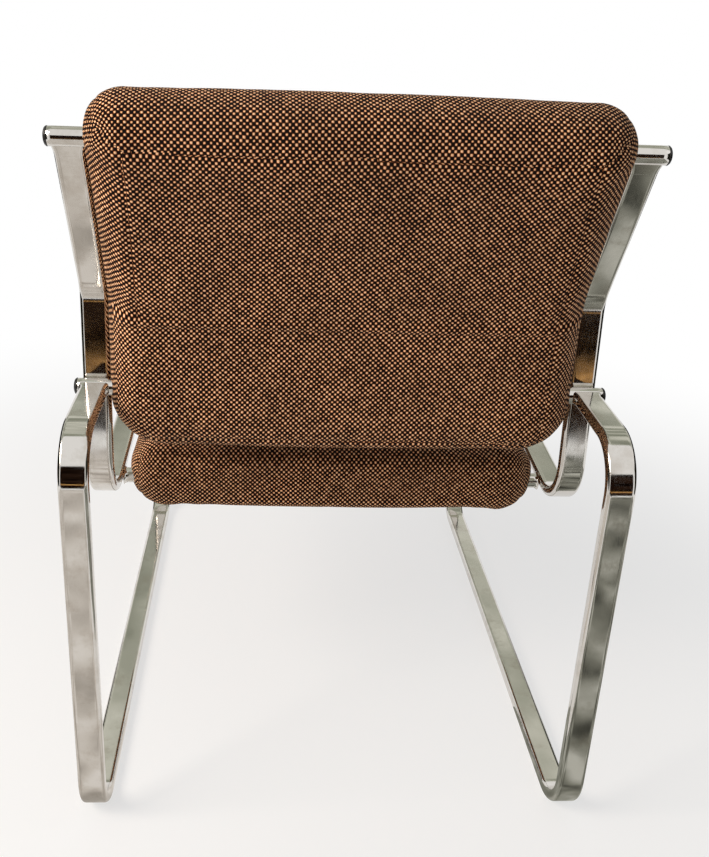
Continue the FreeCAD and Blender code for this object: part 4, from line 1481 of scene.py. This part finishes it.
def seat_cushion(profile: SideProfile, cloth: bpy.types.Material) -> SeatCushion:
    """The seat cushion on the line of the seat rails.

    Args:
        profile: the line of the side tubes.
        cloth: its finish.

    Returns:
        The cushion, not yet built.
    """
    rear_forward = 211 * MM
    length = 541 * MM
    along = np.array([-math.cos(profile.rail_rise), math.sin(profile.rail_rise)])
    run = rear_forward - profile.corner_forward
    height = profile.corner_height + run * math.tan(profile.rail_rise)
    rear = np.array([profile.rear_line - rear_forward, height])
    spine = Spine(tuple(rear), tuple(rear + along * length))
    return SeatCushion(
        "seat_cushion", ("seat_cover", "seat_top_foam", "seat_under_foam"), spine, cloth,
        half_width=extent("back_cover")[0] / 2, first_edge=16 * MM, first_corner=40 * MM)


@dataclass
class HiddenParts:
    """Boards, clips and screws inside the cushions."""

    ply: bpy.types.Material
    zinc: bpy.types.Material

    def build(self) -> None:
        """Give each of them its finish."""
        for kind in ("back", "seat"):
            self._dress(f"{kind}_board", self.ply)
            self._dress(f"{kind}_clips", self.zinc)
            self._dress(f"{kind}_clip_screws", self.zinc)

    def _dress(self, node: str, material: bpy.types.Material) -> None:
        """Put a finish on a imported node, which keeps its own mesh.

        Args:
            node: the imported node.
            material: its finish.
        """
        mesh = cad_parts[node].data
        mesh.materials.clear()
        mesh.materials.append(material)
        LOG.info("%s: dressed", node)


# Studio

@dataclass(frozen=True)
class Card:
    """A card beside the set that only the chrome sees, painted in soft blotches."""

    name: str
    centre: tuple[float, float, float]
    half_u: tuple[float, float, float]
    half_v: tuple[float, float, float]
    tones: tuple[str, ...]
    blotch_mm: float = 250.0
    glow_tone: str = ""
    glow_height: float = 0.24
    glow_reach: float = 0.03
    blotch_span: tuple[float, float] = (0.36, 0.64)

    def build(self) -> None:
        """Make the card and hide it from the camera, from diffuse light and from shadows."""
        centre, u, v = (np.array(side) for side in (self.centre, self.half_u, self.half_v))
        corners = [centre + a * u + b * v for a, b in ((-1, -1), (1, -1), (1, 1), (-1, 1))]
        mesh = bpy.data.meshes.new(self.name)
        mesh.from_pydata([tuple(corner) for corner in corners], [], [(0, 1, 2, 3)])
        card = bpy.data.objects.new(self.name, mesh)
        bpy.context.scene.collection.objects.link(card)
        mesh.materials.append(self._paint())
        card.visible_camera = False
        card.visible_diffuse = False
        card.visible_shadow = False

    def _paint(self) -> bpy.types.Material:
        """Blotches between the tones, with a warm band where the card has one.

        Returns:
            The paint, which glows by itself.
        """
        material, tree, shader = new_material(self.name + "_paint")
        place = add_node(tree, "TexCoord").outputs["Object"]
        blotch = add_node(tree, "TexNoise", inputs={
            "Vector": place, "Scale": 1 / (self.blotch_mm * MM), "Detail": 3.0})
        steps = np.linspace(*self.blotch_span, len(self.tones))
        colour = ramp(tree, blotch.outputs["Fac"], tuple(zip(steps.tolist(), self.tones)))
        if self.glow_tone:
            height = add_node(tree, "SeparateXYZ", inputs={0: place}).outputs[2]
            off = add_node(tree, "Math", {"operation": "SUBTRACT"}, {
                0: height, 1: self.glow_height})
            off = add_node(tree, "Math", {"operation": "ABSOLUTE"}, {0: off.outputs[0]})
            share = add_node(tree, "MapRange", {"interpolation_type": "SMOOTHSTEP"}, {
                "Value": off.outputs[0], "From Max": self.glow_reach, "To Min": 1.0, "To Max": 0.0})
            band = add_node(tree, "Mix", {"data_type": "RGBA"}, {
                0: share.outputs[0], 6: colour, 7: linear(self.glow_tone)})
            colour = band.outputs[2]
        glow = add_node(tree, "Emission", inputs={"Color": colour})
        tree.nodes.remove(shader)
        tree.links.new(glow.outputs[0], outlet(tree).inputs["Surface"])
        return material


@dataclass
class Studio:
    """Pale floor, soft lamps, cards for the chrome, and the camera."""

    floor_half: float = 20.0
    floor_drop: float = 0.2 * MM
    floor_tone: str = "#fbfaf8"
    floor_roughness: float = 0.9
    lens_px: float = 972.8
    image_height_px: float = 857.0
    image_width_px: float = 709.0
    middle_px: tuple[float, float] = (313.9, 410.4)
    eye: tuple[float, float, float] = (0.0937, 1.3268, 0.9204)
    yaw: float = math.radians(3.2164)
    pitch: float = math.radians(22.1863)
    roll: float = math.radians(2.2422)
    sky: float = 0.36
    floor_white: float = 0.62
    floor_near: float = 0.5
    floor_far: float = 1.7
    aim: tuple[float, float, float] = (0.0, 0.0, 0.45)
    sensor_mm: float = 36.0
    nearest: float = 0.05

    def build(self) -> None:
        """Set up floor, world, lamps, cards and camera."""
        self._floor()
        self._world()
        self._lamps()
        for card in self._cards():
            card.build()
        self._camera()
        bpy.context.scene.view_settings.view_transform = "Standard"

    def _seen(self, tree: bpy.types.NodeTree) -> bpy.types.NodeSocket:
        """Tell the rays that see the set from those that light it.

        Args:
            tree: the node tree.

        Returns:
            A socket that is 1 for camera, glossy and transmission rays, else 0.
        """
        path = add_node(tree, "LightPath")
        total = add_node(tree, "Math", {"operation": "ADD"}, {
            0: path.outputs["Is Camera Ray"], 1: path.outputs["Is Glossy Ray"]})
        total = add_node(tree, "Math", {"operation": "ADD", "use_clamp": True}, {
            0: total.outputs[0], 1: path.outputs["Is Transmission Ray"]})
        return total.outputs[0]

    def _floor(self) -> None:
        """A pale floor that takes the chair's shadow and turns plain white
        further out, as a sheet of lit paper does."""
        half = self.floor_half
        mesh = bpy.data.meshes.new("floor")
        corners = [
            (x * half, y * half, -self.floor_drop) for x, y in ((-1, -1), (1, -1), (1, 1), (-1, 1))]
        mesh.from_pydata(corners, [], [(0, 1, 2, 3)])
        floor = bpy.data.objects.new("floor", mesh)
        bpy.context.scene.collection.objects.link(floor)
        material, tree, shader = new_material("floor_paper")
        shader.inputs["Base Color"].default_value = linear(self.floor_tone)
        shader.inputs["Roughness"].default_value = self.floor_roughness
        shader.inputs["Specular IOR Level"].default_value = 0.0
        place = add_node(tree, "TexCoord").outputs["Object"]
        away = add_node(tree, "VectorMath", {"operation": "LENGTH"}, {0: place})
        share = add_node(tree, "MapRange", {"interpolation_type": "SMOOTHSTEP"}, {
            "Value": away.outputs["Value"], "From Min": self.floor_near, "From Max": self.floor_far,
            "To Min": self.floor_white, "To Max": 1.0})
        share = add_node(tree, "Math", {"operation": "MULTIPLY"}, {
            0: share.outputs[0], 1: self._seen(tree)})
        white = add_node(tree, "Emission", inputs={"Color": linear("#ffffff")})
        mixed = add_node(tree, "MixShader", inputs={
            0: share.outputs[0], 1: shader.outputs[0], 2: white.outputs[0]})
        tree.links.new(mixed.outputs[0], outlet(tree).inputs["Surface"])
        mesh.materials.append(material)

    def _world(self) -> None:
        """White to the eye and in the chrome, softer as a light."""
        world = bpy.data.worlds.new("studio")
        bpy.context.scene.world = world
        world.use_nodes = True
        tree = world.node_tree
        tree.nodes.clear()
        strength = add_node(tree, "MapRange", inputs={
            "Value": self._seen(tree), "To Min": self.sky, "To Max": 1.0})
        sky = add_node(tree, "Background", inputs={
            "Color": linear("#ffffff"), "Strength": strength.outputs[0]})
        add_node(tree, "OutputWorld", inputs={"Surface": sky.outputs[0]})

    def _lamp(
        self, name: str, place: Sequence[float], size: float, power: float, colour: str,
    ) -> None:
        """Hang a square soft lamp aimed at the chair's middle.

        Args:
            name: the lamp's name.
            place: where it hangs.
            size: the length of its side.
            power: its power in watts.
            colour: the hex colour of its light.
        """
        light = bpy.data.lights.new(name, "AREA")
        light.size = size
        light.energy = power
        light.color = linear(colour)[:3]
        lamp = bpy.data.objects.new(name, light)
        lamp.location = place
        way = Vector(self.aim) - Vector(place)
        lamp.rotation_euler = way.to_track_quat("-Z", "Y").to_euler()
        bpy.context.scene.collection.objects.link(lamp)

    def _lamps(self) -> None:
        """Key from the upper left of the picture, a weak fill from the right."""
        self._lamp("key", (1.7, 1.0, 1.6), 1.0, 38.0, "#fff4e8")
        self._lamp("fill", (-2.2, 0.8, 1.6), 1.8, 1.5, "#f4f6ff")

    def _cards(self) -> tuple[Card, ...]:
        """Dark sides that draw the tubes' edges, a brown card behind the eye,
        blotched cards low down for the legs, and a grey one overhead."""
        dark = ("#050504", "#17160f", "#2b2a20")
        return (
            Card("rear_card", (0.1, 1.8, 0.62), (1.1, 0.0, 0.0), (0.0, 0.0, 0.58),
                 ("#050303", "#1c110b", "#33231a"), 160.0, "#ffc37a"),
            Card("left_card", (1.7, -0.2, 0.7), (0.0, 1.7, 0.0), (0.0, 0.0, 0.7), dark),
            Card("right_card", (-1.7, -0.2, 0.7), (0.0, 1.7, 0.0), (0.0, 0.0, 0.7), dark),
            Card("left_low_card", (0.66, 0.95, 0.003), (0.55, 0.0, 0.0), (0.0, 0.75, 0.0),
                 ("#f4f0ec", "#e0dad3", "#b4aea6"), 90.0),
            Card("right_low_card", (-0.66, 0.95, 0.003), (0.55, 0.0, 0.0), (0.0, 0.75, 0.0),
                 ("#c9cac2", "#8b8c82", "#3f403a"), 90.0),
            Card("overhead_card", (0.0, -3.0, 3.2), (4.0, 0.0, 0.0), (0.0, 3.4, 0.0),
                 ("#8d9183", "#b9bcae", "#e4e5da"), 500.0),
        )

    def _camera(self) -> None:
        """The photograph's view: from behind and above, a little off the middle.

        Yaw turns the view about the upright line, pitch tips it down, and roll
        turns the picture about the way ahead.
        """
        sin_y, cos_y = math.sin(self.yaw), math.cos(self.yaw)
        sin_p, cos_p = math.sin(self.pitch), math.cos(self.pitch)
        sin_r, cos_r = math.sin(self.roll), math.cos(self.roll)
        ahead = Vector((-sin_y * cos_p, -cos_y * cos_p, -sin_p))
        right = Vector((-cos_y, sin_y, 0.0))
        up = Vector((-sin_y * sin_p, -cos_y * sin_p, cos_p))
        right_rolled = cos_r * right + sin_r * up
        up_rolled = cos_r * up - sin_r * right
        data = bpy.data.cameras.new("camera")
        data.sensor_fit = "VERTICAL"
        data.sensor_height = self.sensor_mm
        data.lens = self.lens_px / self.image_height_px * data.sensor_height
        data.shift_x = (self.image_width_px / 2 - self.middle_px[0]) / self.image_height_px
        data.shift_y = (self.middle_px[1] - self.image_height_px / 2) / self.image_height_px
        data.clip_start = self.nearest
        camera = bpy.data.objects.new("camera", data)
        turn = Matrix((right_rolled, up_rolled, -ahead)).transposed()
        camera.matrix_world = Matrix.Translation(self.eye) @ turn.to_4x4()
        bpy.context.scene.collection.objects.link(camera)
        bpy.context.scene.camera = camera


def main() -> None:
    """Build the chair's pieces in order, then the studio."""
    logging.basicConfig(level=logging.INFO, format="%(name)s %(message)s")
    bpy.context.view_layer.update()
    chrome = ChromePlate().material()
    cloth = HopsackCloth().material()
    plastic = CapPlastic().material()
    profile = SideProfile()
    for side in Side:
        SideFrame(side, profile, chrome).build()
    for node in ("top_rod", "lumbar_rod"):
        CrossRod(node, chrome, plastic, capped=True).build()
    for node in ("seat_rear_rod", "seat_front_rod"):
        CrossRod(node, chrome, plastic).build()
    Welds(profile, chrome).build()
    HiddenParts(BirchPly().material(), ZincSteel().material()).build()
    back_cushion(profile, cloth).build()
    seat_cushion(profile, cloth).build()
    Studio().build()


if __name__ == "__main__":
    main()
